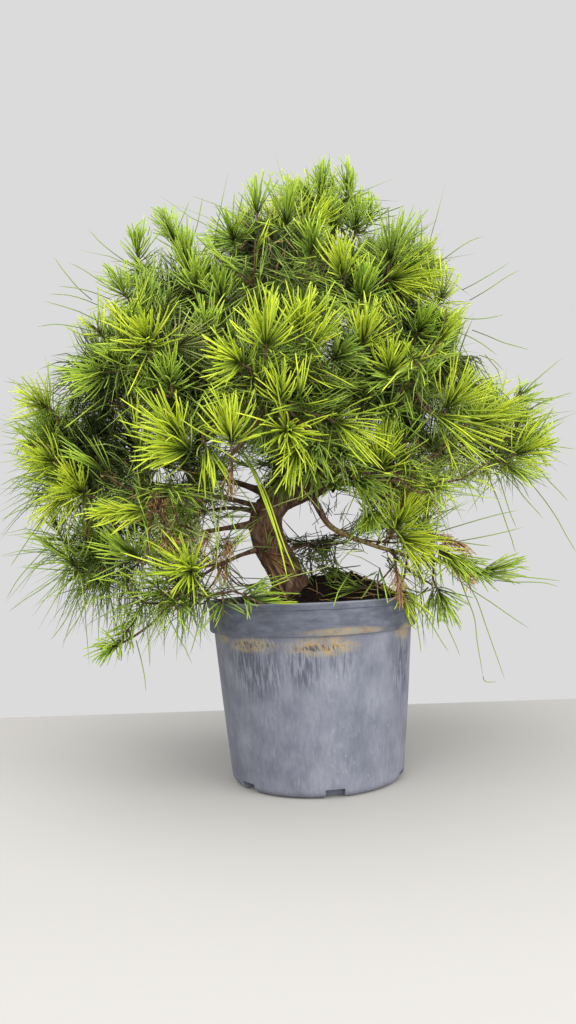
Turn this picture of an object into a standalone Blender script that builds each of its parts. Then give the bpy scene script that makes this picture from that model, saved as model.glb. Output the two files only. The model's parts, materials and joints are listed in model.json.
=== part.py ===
"""Potted Aleppo pine: a young pine grown on for bonsai in a faded plastic nursery pot.

Metres, +Z up, origin at the middle of the pot's flat underside, front of the plant towards -Y.
"""

import math
import random
from dataclasses import dataclass

import bmesh
import bpy
from mathutils import Matrix, Vector

MM = 0.001
GAP = 0.3 * MM
MERGE = 0.01 * MM
SEED = 7
UP = Vector((0, 0, 1))

# Pot, a three litre nursery pot: heights from the ground, radii of its outside
RIM_RADIUS = 95 * MM
POT_HEIGHT = 158.6 * MM
LIP_BOTTOM = 131.5 * MM
WALL_TOP_RADIUS = 90 * MM
WALL_FOOT_RADIUS = 77.5 * MM
WALL = 1.8 * MM
LIP_WALL = 2.9 * MM
BEAD = 1.0 * MM
BEAD_DROP = 5.5 * MM
FOOT_ROUND = 7 * MM
POT_STEPS = 32

# Drain pockets pressed into the foot of the wall
POCKETS = 6
POCKET_TURN = math.radians(-80)
POCKET_WIDTH = 16 * MM
POCKET_HEIGHT = 7.5 * MM
POCKET_INNER_RADIUS = 66 * MM
POCKET_WALL = 1.6 * MM

# Soil: fills the pot and heaps up beside the trunk
SOIL_EDGE_HEIGHT = 151 * MM
HEAP_HEIGHT = 28 * MM
HEAP_MIDDLE = Vector((26 * MM, 14 * MM, 0))
HEAP_RADIUS = 74 * MM
SOIL_STEPS = 24
SOIL_RINGS = 4
SOIL_ROUGHNESS = 1.4 * MM
SOIL_CLEARANCE = 1.3 * MM
SEAT_RADIUS = 25 * MM

# Trunk from the soil to its tip: x, y, height and radius in millimetres
TRUNK = (
    (-17, 8, 163, 17.5),
    (-24, 5, 184, 15.8),
    (-36, 1, 208, 15.6),
    (-39, -2, 232, 15.2),
    (-27, -3, 249, 13.6),
    (-6, -1, 257, 11.8),
    (14, 3, 266, 10.8),
    (25, 6, 292, 9.4),
    (18, 8, 345, 7.4),
    (8, 8, 405, 5.6),
    (22, 10, 465, 4.0),
    (38, 14, 515, 2.4),
)
TRUNK_STEPS = 2
TRUNK_SIDES = 10
FLARE = 3.2 * MM
FLARE_LOBES = 4
FLARE_DEPTH = 0.4
FLARE_HEIGHT = 20 * MM

# Space that the crown keeps to, its furthest tips on every side
CROWN_LOW = Vector((-283, -214, 84)) * MM
CROWN_HIGH = Vector((249, 226, 592)) * MM
POT_CLEARANCE = 3 * MM
CELL_MARGIN = 0.5 * MM
LIMB_MARGIN = 0.6 * MM

# Twigs and sprays of a mass
TWIGS = 7
TWIG_RADIUS = 1.6 * MM
TWIG_SAG = 4 * MM
STEM_TIP_RADIUS = 1.7 * MM
JOINT_RUN = 2 * MM
OUTWARD_DRAW = 0.45
UPWARD_DRAW = 0.2
TWIG_ROOT = 0.62
TWIG_ROOT_SHIFT = 0.34
LEAST_FULL = 0.92
SPRAY_REACH = 54 * MM
LIFT = 0.25
CORE_LENGTH = 26 * MM
CORE_RINGS = 3
CORE_RADIUS = 2.2 * MM
CORE_TWIST = math.radians(42)
WIDE_SPLAY = 66
STEEP_SPLAY = 26
NEEDLE_SWING = 0.25
NEEDLE_LENGTH = 34 * MM
NEEDLE_RADIUS = 2.6 * MM
NEEDLE_SPACING = 2.4 * MM
LEAST_REACH = 42 * MM
TRUNK_BORNE = 75 * MM
SHORTEST_BOUGH = 0.3
LONGEST_BOUGH = 0.8
GOLDEN_TURN = math.pi * (3 - math.sqrt(5))


@dataclass(frozen=True)
class Mass:
    """A mass of needles, in millimetres: its heart, its spread, and how its limb leaves the trunk."""

    name: str
    heart: tuple
    spread: float
    fork: float
    girth: float = 4.0
    bow: float = 0.0
    draw: int = 0


MASSES = (
    Mass("crown_tip", (38, 12, 540), 70, 515),
    Mass("crown_left", (-42, -22, 495), 88, 440, 3.0, draw=4),
    Mass("crown_back", (2, 88, 478), 92, 420, 3.2, 8),
    Mass("shoulder_right", (105, 2, 462), 86, 405, 3.8, 12, draw=1),
    Mass("shoulder_left", (-138, 4, 462), 92, 388, 4.0, 14, draw=6),
    Mass("front_upper", (-28, -112, 410), 92, 372, 4.0, 10, draw=7),
    Mass("left_upper", (-208, -12, 385), 92, 342, 4.6, 16),
    Mass("right_upper", (170, -22, 372), 90, 345, 4.4, 12, draw=1),
    Mass("back_upper_left", (-108, 122, 392), 96, 356, 4.2, 12, draw=3),
    Mass("back_upper_right", (108, 128, 376), 96, 350, 4.2, 12, draw=6),
    Mass("front_left", (-128, -122, 345), 90, 310, 4.8, 8),
    Mass("front_middle", (-22, -150, 318), 84, 300, 4.6, 6, draw=7),
    Mass("front_right", (82, -122, 335), 90, 318, 4.4, 10, draw=2),
    Mass("back_middle", (-10, 178, 330), 92, 312, 4.8, 12, draw=1),
    Mass("left_far", (-222, 2, 290), 92, 250, 5.4, 14, draw=5),
    Mass("right_far", (192, 12, 288), 92, 284, 5.0, 16, draw=5),
    Mass("front_low_left", (-118, -122, 250), 84, 240, 4.6, 4, draw=3),
    Mass("front_low_right", (92, -112, 252), 84, 272, 4.2, 6, draw=6),
    Mass("left_low", (-190, -28, 196), 92, 228, 4.8, 6, draw=7),
    Mass("foot_left", (-108, -62, 172), 82, 206, 4.0, 6, draw=7),
    Mass("right_low", (120, -28, 186), 92, 258, 4.2, -26, draw=1),
    Mass("back_low_right", (112, 118, 236), 94, 268, 4.8, 8, draw=4),
    Mass("back_low_left", (-132, 118, 244), 94, 236, 5.0, 8, draw=1),
    Mass("foot_back", (20, 78, 210), 66, 196, 3.0, 4),
)


def clear_scene():
    """Removes whatever the scene holds."""
    for obj in list(bpy.data.objects):
        bpy.data.objects.remove(obj)


def new_collection(name, parent):
    """A collection of this name inside parent."""
    collection = bpy.data.collections.new(name)
    parent.children.link(collection)
    return collection


def new_material(name, color, roughness):
    """A Principled material of one colour."""
    material = bpy.data.materials.new(name)
    material.use_nodes = True
    shader = material.node_tree.nodes["Principled BSDF"]
    shader.inputs["Base Color"].default_value = (*color, 1)
    shader.inputs["Roughness"].default_value = roughness
    shader.inputs["Metallic"].default_value = 0
    return material


def new_object(name, bm, collection, material=None):
    """An object made from bm, which is freed."""
    mesh = bpy.data.meshes.new(name)
    bm.to_mesh(mesh)
    bm.free()
    if material:
        mesh.materials.append(material)
    obj = bpy.data.objects.new(name, mesh)
    collection.objects.link(obj)
    return obj


def as_cutter(obj):
    """Marks obj as a cutter, which isn't part of the plant."""
    obj.hide_render = True
    obj.display_type = "WIRE"
    return obj


def apply_boolean(obj, operation, other=None, group=None, solver="EXACT"):
    """Applies a Boolean on obj with another object or with a collection of them."""
    modifier = obj.modifiers.new("boolean", "BOOLEAN")
    modifier.operation = operation
    modifier.solver = solver
    if group:
        modifier.operand_type = "COLLECTION"
        modifier.collection = group
    else:
        modifier.object = other
    bpy.context.view_layer.update()
    graph = bpy.context.evaluated_depsgraph_get()
    mesh = bpy.data.meshes.new_from_object(obj.evaluated_get(graph))
    obj.modifiers.clear()
    obj.data = mesh


def screw_mesh(name, profile, steps, collection):
    """A turned solid: the profile of (radius, height) pairs swept round Z and made a mesh."""
    bm = bmesh.new()
    verts = [bm.verts.new((radius, 0, height)) for radius, height in profile]
    for first, second in zip(verts, verts[1:]):
        bm.edges.new((first, second))
    obj = new_object(name, bm, collection)
    screw = obj.modifiers.new("turn", "SCREW")
    screw.axis = "Z"
    screw.steps = steps
    screw.render_steps = steps
    screw.use_merge_vertices = True
    screw.merge_threshold = 0.00001
    bpy.context.view_layer.update()
    graph = bpy.context.evaluated_depsgraph_get()
    turned = bmesh.new()
    turned.from_mesh(obj.evaluated_get(graph).data)
    bmesh.ops.remove_doubles(turned, verts=turned.verts, dist=MERGE)
    obj.modifiers.clear()
    turned.to_mesh(obj.data)
    turned.free()
    return obj


def make_curve(name, points, radii, sides, collection, tilts=None):
    """A tapering limb along points as a mesh with closed ends, round or three-sided."""
    data = bpy.data.curves.new(name, "CURVE")
    data.dimensions = "3D"
    data.use_fill_caps = True
    data.twist_mode = "MINIMUM"
    outline = None
    if sides == 3:
        outline = three_sided_outline()
        data.bevel_mode = "OBJECT"
        data.bevel_object = outline
    else:
        data.bevel_depth = 1
        data.bevel_resolution = (sides - 4) // 2
    spline = data.splines.new("POLY")
    spline.points.add(len(points) - 1)
    for slot, point, radius in zip(spline.points, points, radii):
        slot.co = (*point, 1)
        slot.radius = radius
    for slot, tilt in zip(spline.points, tilts or []):
        slot.tilt = tilt
    curve = bpy.data.objects.new(name, data)
    collection.objects.link(curve)
    bpy.context.view_layer.update()
    graph = bpy.context.evaluated_depsgraph_get()
    mesh = bpy.data.meshes.new_from_object(curve.evaluated_get(graph))
    bpy.data.objects.remove(curve)
    if outline:
        bpy.data.objects.remove(outline)
    bm = bmesh.new()
    bm.from_mesh(mesh)
    bmesh.ops.remove_doubles(bm, verts=bm.verts, dist=MERGE)
    bmesh.ops.recalc_face_normals(bm, faces=bm.faces)
    return new_object(name, bm, collection)


def three_sided_outline():
    """A triangle of radius one, the section of a twig."""
    data = bpy.data.curves.new("twig_section", "CURVE")
    data.dimensions = "2D"
    spline = data.splines.new("POLY")
    spline.use_cyclic_u = True
    spline.points.add(2)
    for index, slot in enumerate(spline.points):
        turn = index * math.tau / 3
        slot.co = (math.cos(turn), math.sin(turn), 0, 1)
    outline = bpy.data.objects.new("twig_section", data)
    bpy.context.scene.collection.objects.link(outline)
    return outline


def smooth_path(points, steps):
    """Points on a Catmull-Rom curve through points, steps to each stretch."""
    ends = [points[0] * 2 - points[1], *points, points[-1] * 2 - points[-2]]
    path = []
    for before, first, second, after in zip(ends, ends[1:], ends[2:], ends[3:]):
        for step in range(steps):
            t = step / steps
            path.append(
                0.5
                * (
                    first * 2
                    + (second - before) * t
                    + (before * 2 - first * 5 + second * 4 - after) * t**2
                    + (first * 3 - before - second * 3 + after) * t**3
                )
            )
    return [*path, points[-1].copy()]


def trunk_line():
    """Points and radii along the trunk's axis, from the soil to the tip."""
    nodes = [Vector(node) * MM for node in TRUNK]
    line = smooth_path(nodes, TRUNK_STEPS)
    return [node.to_3d() for node in line], [node.w for node in line]


def trunk_at(height):
    """The point of the trunk's axis at this height in metres."""
    points, _ = trunk_line()
    for low, high in zip(points, points[1:]):
        if low.z <= height <= high.z:
            return low.lerp(high, (height - low.z) / (high.z - low.z))
    return points[-1]


def limb_point(mass, share):
    """A point on the line from the trunk's axis, share 0, to the heart of the mass, share 1."""
    start = trunk_at(mass.fork * MM)
    end = Vector(mass.heart) * MM
    middle = (start + end) / 2 + UP * mass.bow * MM * 2
    return start * (1 - share) ** 2 + middle * 2 * share * (1 - share) + end * share**2


def joint_line(mass, share):
    """Two points square to the joint at the bough's end, and two at the stem's start."""
    way = (limb_point(mass, share + 0.01) - limb_point(mass, share - 0.01)).normalized()
    joint = limb_point(mass, share)
    return joint - way * JOINT_RUN, joint, joint + way * GAP, joint + way * JOINT_RUN


def limb_radius(mass, share):
    """The limb's radius there: it tapers all the way to the heart."""
    girth = mass.girth * MM
    return girth + (STEM_TIP_RADIUS - girth) * share**0.8


def in_cell(point, mass):
    """Whether point is nearer to the heart of this mass than to any other's, by the margin."""
    heart = Vector(mass.heart) * MM
    for other in MASSES:
        if other is mass:
            continue
        away = Vector(other.heart) * MM - heart
        if (point - heart).dot(away.normalized()) > away.length / 2 - CELL_MARGIN:
            return False
    return all(low <= value <= high for low, value, high in zip(CROWN_LOW, point, CROWN_HIGH))


def reach_of(mass, direction):
    """How far the mass may spread this way from its heart."""
    heart = Vector(mass.heart) * MM
    reach = mass.spread * MM
    for other in MASSES:
        away = Vector(other.heart) * MM - heart
        lean = direction.dot(away.normalized()) if other is not mass else 0
        if lean > 0:
            reach = min(reach, (away.length / 2 - CELL_MARGIN) / lean)
    for axis in range(3):
        edge = CROWN_HIGH[axis] if direction[axis] > 0 else CROWN_LOW[axis]
        if abs(direction[axis]) > 0.01:
            reach = min(reach, (edge - heart[axis]) / direction[axis])
    return reach


def entry_share(mass):
    """Where the bough ends and the stem starts: as the line enters the mass's cell, or 0 with no bough."""
    length = Vector(mass.heart) * MM - trunk_at(mass.fork * MM)
    if length.length < TRUNK_BORNE:
        return 0
    step = 0.02
    share = 1.0
    while share > SHORTEST_BOUGH and in_cell(limb_point(mass, share - step), mass):
        share -= step
    return min(share, LONGEST_BOUGH)


def soil_height(x, y):
    """The soil's height there: level at the wall, and heaped up beside the trunk."""
    away = (Vector((x, y, 0)) - HEAP_MIDDLE).length / HEAP_RADIUS
    heap = HEAP_HEIGHT * math.cos(min(away, 1) * math.pi / 2) ** 1.5
    return SOIL_EDGE_HEIGHT + heap


def in_pot(point):
    """Whether point is inside the pot or the soil, or too near to them."""
    radius = math.hypot(point.x, point.y)
    if radius > RIM_RADIUS + POT_CLEARANCE:
        return False
    top = max(POT_HEIGHT if radius > RIM_RADIUS - 6 * MM else 0, soil_height(point.x, point.y))
    return point.z < top + POT_CLEARANCE


def segment_distance(a, b, c, d):
    """The shortest distance between segments a to b and c to d."""
    ab = b - a
    cd = d - c
    ac = c - a
    ab_ab = max(ab.dot(ab), 1e-12)
    cd_cd = max(cd.dot(cd), 1e-12)
    ab_cd = ab.dot(cd)
    spread = ab_ab * cd_cd - ab_cd**2
    s = 0.0
    if spread > 1e-14:
        s = min(max((ab.dot(ac) * cd_cd - cd.dot(ac) * ab_cd) / spread, 0), 1)
    t = min(max((ab_cd * s - cd.dot(ac)) / cd_cd, 0), 1)
    s = min(max((ab_cd * t + ab.dot(ac)) / ab_ab, 0), 1)
    return ((a + ab * s) - (c + cd * t)).length


class Limbs:
    """The wood of the tree as short tapering stretches, which twigs and needles keep clear of."""

    def __init__(self):
        self.stretches = []

    def add(self, owner, points, radii):
        """Adds a limb that belongs to owner."""
        for first, second, thick in zip(points, points[1:], radii):
            self.stretches.append((owner, first, second, thick))

    def clear_of(self, owner, start, end, radius):
        """Whether a stretch from start to end stays clear of every limb but the owner's own."""
        for other, first, second, thick in self.stretches:
            if other == owner:
                continue
            if segment_distance(start, end, first, second) < thick + radius + LIMB_MARGIN:
                return False
        return True


def fits(mass, limbs, start, end, radius):
    """Whether a twig or needle from start to end keeps to the mass's space and clear of limbs and pot."""
    if not in_cell(end, mass) or not in_cell(start, mass):
        return False
    if any(in_pot(start.lerp(end, step / 6)) for step in range(7)):
        return False
    return limbs.clear_of(mass.name, start, end, radius)


def free_needle(mass, limbs, grown, start, end):
    """Whether a needle from start to end fits its mass and crosses none of those that have grown."""
    if not fits(mass, limbs, start, end, NEEDLE_RADIUS):
        return False
    return all(segment_distance(start, end, *other) > NEEDLE_SPACING for other in grown)


def draw_out_needles(obj, mass, limbs, grown, core, direction, rng):
    """Draws each face of the core out to a needle's point: steep at the tip, wide lower down."""
    bm = bmesh.new()
    bm.from_mesh(obj.data)
    length = (core[-1] - core[0]).length
    faces = []
    for face in bm.faces:
        along = (face.calc_center_median() - core[0]).dot(direction)
        if along > 1 * MM:
            faces.append(face)
    needles = []
    for vert in bmesh.ops.poke(bm, faces=faces)["verts"]:
        along = (vert.co - core[0]).dot(direction)
        outward = vert.co - core[0] - direction * along
        at_tip = outward.length < 0.3 * MM
        splay = 0 if at_tip else math.radians(WIDE_SPLAY + (STEEP_SPLAY - WIDE_SPLAY) * along / length)
        side = direction if at_tip else outward.normalized()
        swing = Matrix.Rotation(rng.uniform(-NEEDLE_SWING, NEEDLE_SWING), 3, direction)
        lean = swing @ (side * math.sin(splay) + direction * math.cos(splay))
        needle = NEEDLE_LENGTH * rng.uniform(0.8, 1.2)
        for share in (1, 0.75, 0.5, 0.3):
            end = vert.co + lean * needle * share
            if free_needle(mass, limbs, grown, vert.co, end):
                needles.append((vert.co.copy(), end))
                vert.co = end
                break
    grown += needles
    bm.to_mesh(obj.data)
    bm.free()


def add_twig(mass, limbs, grown, start, base, direction, rng, group):
    """A three-sided twig from start to base that goes on as a slim core with needles standing out of it."""
    core = [base + direction * CORE_LENGTH * step / CORE_RINGS for step in range(CORE_RINGS + 1)]
    bend = start.lerp(base, 0.55) - UP * TWIG_SAG
    path = [start, bend, *core]
    if not all(fits(mass, limbs, a, b, CORE_RADIUS) for a, b in zip(path[1:], path[2:])):
        return
    radii = [TWIG_RADIUS, TWIG_RADIUS] + [CORE_RADIUS] * CORE_RINGS + [CORE_RADIUS * 0.7]
    tilts = [0, 0] + [CORE_TWIST * step for step in range(CORE_RINGS + 1)]
    twig = make_curve("twig", path, radii, 3, group, tilts)
    draw_out_needles(twig, mass, limbs, grown, core, direction, rng)
    grown += list(zip(path[1:], path[2:]))


def twig_direction(mass, index, turn):
    """The way that a twig of the mass points: evenly spread over a sphere, drawn outwards and up."""
    height = 1 - 2 * (index + 0.5) / TWIGS
    flat = math.sqrt(1 - height**2)
    angle = turn + index * GOLDEN_TURN
    even = Vector((flat * math.cos(angle), flat * math.sin(angle), height))
    outward = (Vector(mass.heart) * MM - trunk_at(mass.fork * MM)).normalized()
    return (even + outward * OUTWARD_DRAW + UP * UPWARD_DRAW).normalized()


def grow_mass(mass, limbs, share, group):
    """Adds the twigs of a mass to group, all branching from its stem."""
    rng = random.Random(f"{SEED} {mass.name} {mass.draw}")
    heart = Vector(mass.heart) * MM
    turn = rng.uniform(0, math.tau)
    fullness = [rng.uniform(LEAST_FULL, 1) for _ in range(TWIGS)]
    stem_way = (heart - limb_point(mass, 0.9)).normalized()
    grown = []
    for index, full in enumerate(fullness):
        way = twig_direction(mass, index, turn)
        reach = reach_of(mass, way) * full
        if reach < LEAST_REACH:
            continue
        along_stem = TWIG_ROOT + TWIG_ROOT_SHIFT * way.dot(stem_way)
        start = limb_point(mass, share + (1 - share) * along_stem)
        base = heart + way * (reach - SPRAY_REACH)
        add_twig(mass, limbs, grown, start, base, (way + UP * LIFT).normalized(), rng, group)


def keep_main_body(obj):
    """Fills sealed hollows and drops loose scraps: only the body with the most volume stays."""
    bm = bmesh.new()
    bm.from_mesh(obj.data)
    bmesh.ops.remove_doubles(bm, verts=bm.verts, dist=MERGE)
    unseen = set(bm.verts)
    bodies = []
    while unseen:
        stack = [unseen.pop()]
        body = set(stack)
        while stack:
            for edge in stack.pop().link_edges:
                for vert in edge.verts:
                    if vert in unseen:
                        unseen.discard(vert)
                        body.add(vert)
                        stack.append(vert)
        bodies.append(body)
    bodies.sort(key=len)
    for body in bodies[:-1]:
        bmesh.ops.delete(bm, geom=list(body), context="VERTS")
    bm.to_mesh(obj.data)
    bm.free()


def make_mass(mass, limbs, share, trunk_cutter, material, collection):
    """A mass of needles fused to one solid."""
    steps = 3
    shares = [share + (1 - share) * step / steps for step in range(steps + 1)]
    points = [limb_point(mass, value) for value in shares]
    radii = [limb_radius(mass, value) for value in shares]
    if share > 0:
        points[:1] = joint_line(mass, share)[2:]
        radii.insert(0, radii[0])
    obj = make_curve(mass.name, points, radii, 6, collection)
    if share == 0:
        apply_boolean(obj, "DIFFERENCE", other=trunk_cutter)
    group = new_collection(f"{mass.name}_twigs", bpy.context.scene.collection)
    grow_mass(mass, limbs, share, group)
    apply_boolean(obj, "UNION", group=group, solver="MANIFOLD")
    for twig in list(group.objects):
        bpy.data.objects.remove(twig)
    bpy.data.collections.remove(group)
    keep_main_body(obj)
    obj.data.materials.clear()
    obj.data.materials.append(material)
    return obj


def make_bough(mass, share, trunk_cutter, material, collection):
    """The bough that carries a mass, from the trunk's bark to the stem of the mass."""
    steps = 4
    shares = [share * step / steps for step in range(steps + 1)]
    points = [limb_point(mass, value) for value in shares]
    radii = [limb_radius(mass, value) for value in shares]
    points[-1:] = joint_line(mass, share)[:2]
    radii.append(radii[-1])
    bough = make_curve(f"bough_{mass.name}", points, radii, 6, collection)
    apply_boolean(bough, "DIFFERENCE", other=trunk_cutter)
    keep_main_body(bough)
    bough.data.materials.append(material)
    bough.data.shade_smooth()
    return bough


def make_trunk(material, collection):
    """The trunk, whole from its flat cut at the soil to its tip, with a lobed root flare."""
    points, radii = trunk_line()
    points.insert(0, points[0] - (points[1] - points[0]))
    radii.insert(0, radii[0])
    trunk = make_curve("trunk", points, radii, TRUNK_SIDES, collection)
    foot = trunk_line()[0][0]
    bm = bmesh.new()
    bm.from_mesh(trunk.data)
    for vert in bm.verts:
        rise = (vert.co.z - foot.z) / FLARE_HEIGHT
        if rise < 1:
            away = Vector((vert.co.x - foot.x, vert.co.y - foot.y, 0))
            lobes = 1 + FLARE_DEPTH * math.cos(FLARE_LOBES * math.atan2(away.y, away.x))
            vert.co += away.normalized() * FLARE * lobes * (1 - max(rise, 0)) ** 2
    geometry = [*bm.verts, *bm.edges, *bm.faces]
    cut = bmesh.ops.bisect_plane(
        bm, geom=geometry, plane_co=foot + UP * GAP, plane_no=-UP, clear_outer=True
    )
    edges = [item for item in cut["geom_cut"] if isinstance(item, bmesh.types.BMEdge)]
    bmesh.ops.holes_fill(bm, edges=edges)
    bmesh.ops.recalc_face_normals(bm, faces=bm.faces)
    bm.to_mesh(trunk.data)
    bm.free()
    trunk.data.materials.append(material)
    trunk.data.shade_smooth()
    trunk.data.set_sharp_from_angle(angle=math.radians(50))
    return trunk


def make_trunk_cutter(collection):
    """The trunk with the gap added all round, which cuts the limbs' roots to its bark."""
    points, radii = trunk_line()
    radii = [radius + GAP for radius in radii]
    return as_cutter(make_curve("trunk_cutter", points, radii, TRUNK_SIDES, collection))


def wall_radius(height):
    """The pot wall's outer radius at this height, below its lip."""
    return WALL_FOOT_RADIUS + (WALL_TOP_RADIUS - WALL_FOOT_RADIUS) * height / LIP_BOTTOM


def foot_arc(radius, inset, steps=2):
    """The rounded foot of the wall as (radius, height) pairs, from the wall down to the floor."""
    centre_radius = wall_radius(0) - FOOT_ROUND
    pairs = []
    for step in range(steps + 1):
        turn = step / steps * math.pi / 2
        pairs.append((centre_radius + radius * math.cos(turn), inset + radius - radius * math.sin(turn)))
    return pairs


def pot_outside():
    """The outside of the pot's section as (radius, height) pairs, from the rim to the floor's middle."""
    lip_foot = RIM_RADIUS - 1.2 * MM
    bead = POT_HEIGHT - BEAD_DROP
    return [
        (RIM_RADIUS - 0.4 * MM, POT_HEIGHT),
        (RIM_RADIUS, POT_HEIGHT - 0.6 * MM),
        (RIM_RADIUS, bead + 0.6 * MM),
        (RIM_RADIUS - BEAD, bead - 0.6 * MM),
        (lip_foot, LIP_BOTTOM + 1.2 * MM),
        (lip_foot - 1.2 * MM, LIP_BOTTOM),
        (WALL_TOP_RADIUS, LIP_BOTTOM),
        *foot_arc(FOOT_ROUND, 0),
        (0, 0),
    ]


def pot_profile():
    """The pot's section as (radius, height) pairs, down its outside and up its inside."""
    return [
        *pot_outside(),
        (0, WALL),
        *reversed(foot_arc(FOOT_ROUND - WALL, WALL)),
        (WALL_TOP_RADIUS - WALL, LIP_BOTTOM + WALL),
        (RIM_RADIUS - LIP_WALL, LIP_BOTTOM + 2 * WALL),
        (RIM_RADIUS - LIP_WALL + 0.7 * MM, POT_HEIGHT),
        (RIM_RADIUS - 0.4 * MM, POT_HEIGHT),
    ]


def pocket_box(name, width, low, high, inner, outer, turn, collection):
    """A box of a drain pocket: from inner to outer radius and from low to high, turned to its place."""
    bm = bmesh.new()
    bmesh.ops.create_cube(bm, size=1)
    scale = Matrix.Diagonal((outer - inner, width, high - low, 1))
    place = Matrix.Translation(((outer + inner) / 2, 0, (high + low) / 2))
    bm.transform(Matrix.Rotation(turn, 4, "Z") @ place @ scale)
    return as_cutter(new_object(name, bm, collection))


def pot_body(collection):
    """The pot's outside as a full solid, which trims the pockets' walls."""
    return as_cutter(screw_mesh("pot_body", [(0, POT_HEIGHT), *pot_outside()], POT_STEPS, collection))


def make_pot(material, collection, cutters):
    """The pot: a turned shell with a lip, a bead and six drain pockets in its foot."""
    pot = screw_mesh("pot", pot_profile(), POT_STEPS, collection)
    body = pot_body(cutters)
    past_wall = WALL_TOP_RADIUS + POCKET_WALL
    for index in range(POCKETS):
        turn = POCKET_TURN + index * math.tau / POCKETS
        shell = pocket_box(
            "pocket_shell",
            POCKET_WIDTH + 2 * POCKET_WALL,
            0,
            POCKET_HEIGHT + POCKET_WALL,
            POCKET_INNER_RADIUS - POCKET_WALL,
            past_wall,
            turn,
            cutters,
        )
        space = pocket_box(
            "pocket_space",
            POCKET_WIDTH,
            -POCKET_WALL,
            POCKET_HEIGHT,
            POCKET_INNER_RADIUS,
            past_wall,
            turn,
            cutters,
        )
        apply_boolean(shell, "INTERSECT", other=body)
        apply_boolean(pot, "UNION", other=shell)
        apply_boolean(pot, "DIFFERENCE", other=space)
    for cutter in list(cutters.objects):
        bpy.data.objects.remove(cutter)
    pot.data.materials.clear()
    pot.data.materials.append(material)
    pot.data.shade_smooth()
    pot.data.set_sharp_from_angle(angle=math.radians(35))
    return pot


def make_soil(material, collection, cutters):
    """The soil: it fills the pot above its pockets and is heaped on top, with a level seat for the trunk."""
    above_pockets = POCKET_HEIGHT + POCKET_WALL + GAP
    inner_foot = POCKET_INNER_RADIUS - POCKET_WALL - 1 * MM
    clear = WALL + SOIL_CLEARANCE
    profile = [(0, SOIL_EDGE_HEIGHT)]
    edge = RIM_RADIUS - LIP_WALL - SOIL_CLEARANCE
    for ring in range(1, SOIL_RINGS + 1):
        profile.append((edge * ring / SOIL_RINGS, SOIL_EDGE_HEIGHT))
    profile += [
        (edge, LIP_BOTTOM + 2 * WALL + 2 * MM),
        (WALL_TOP_RADIUS - clear, LIP_BOTTOM + WALL + 1 * MM),
        (wall_radius(above_pockets) - clear, above_pockets),
        (inner_foot, above_pockets),
        (inner_foot, WALL + GAP),
        (0, WALL + GAP),
    ]
    soil = screw_mesh("soil", profile, SOIL_STEPS, collection)
    rng = random.Random(SEED)
    for vert in soil.data.vertices:
        if vert.co.z > SOIL_EDGE_HEIGHT - 0.1 * MM:
            near_wall = math.hypot(vert.co.x, vert.co.y) > edge - 0.1 * MM
            rough = 0 if near_wall else rng.uniform(-1, 1) * SOIL_ROUGHNESS
            vert.co.z = soil_height(vert.co.x, vert.co.y) + rough
    foot = trunk_line()[0][0]
    seat = bmesh.new()
    bmesh.ops.create_cone(
        seat, cap_ends=True, segments=SOIL_STEPS, radius1=SEAT_RADIUS, radius2=SEAT_RADIUS, depth=HEAP_HEIGHT
    )
    seat.transform(Matrix.Translation(foot + UP * HEAP_HEIGHT / 2))
    cutter = as_cutter(new_object("trunk_seat", seat, cutters))
    apply_boolean(soil, "DIFFERENCE", other=cutter)
    bpy.data.objects.remove(cutter)
    soil.data.materials.clear()
    soil.data.materials.append(material)
    return soil


def main():
    """Builds the pot, the soil, the trunk, the boughs and the masses of needles."""
    clear_scene()
    plant = new_collection("potted_aleppo_pine", bpy.context.scene.collection)
    cutters = new_collection("cutters", bpy.context.scene.collection)
    plastic = new_material("faded_black_plastic", (0.20, 0.22, 0.27), 0.6)
    earth = new_material("potting_soil", (0.024, 0.013, 0.01), 0.95)
    bark = new_material("pine_bark", (0.14, 0.07, 0.045), 0.85)
    needles = new_material("pine_needles", (0.16, 0.36, 0.02), 0.5)
    make_pot(plastic, plant, cutters)
    make_soil(earth, plant, cutters)
    make_trunk(bark, plant)
    trunk_cutter = make_trunk_cutter(cutters)
    limbs = Limbs()
    limbs.add("trunk", *trunk_line())
    for mass in MASSES:
        line = [limb_point(mass, step / 10) for step in range(11)]
        limbs.add(mass.name, line, [limb_radius(mass, step / 10) for step in range(10)])
    for mass in MASSES:
        share = entry_share(mass)
        if share > 0:
            make_bough(mass, share, trunk_cutter, bark, plant)
        make_mass(mass, limbs, share, trunk_cutter, needles, plant)


if __name__ == "__main__":
    main()
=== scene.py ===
"""Potted Aleppo pine: the looks of a young pine grown on for bonsai in a faded nursery pot.

Metres, +Z up, origin at the middle of the pot's flat underside, front of the plant towards -Y.
Sizes are given in millimetres, and every piece replaces the plain solids that it stands for.
"""

import json
import logging
import math
import random
from dataclasses import dataclass, field
from enum import Enum

import bmesh
import bpy
import numpy as np
from bpy.types import Material, Node, NodeSocket, NodeTree, Object
from mathutils import Matrix, Vector, noise
from numpy.random import Generator

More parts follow.
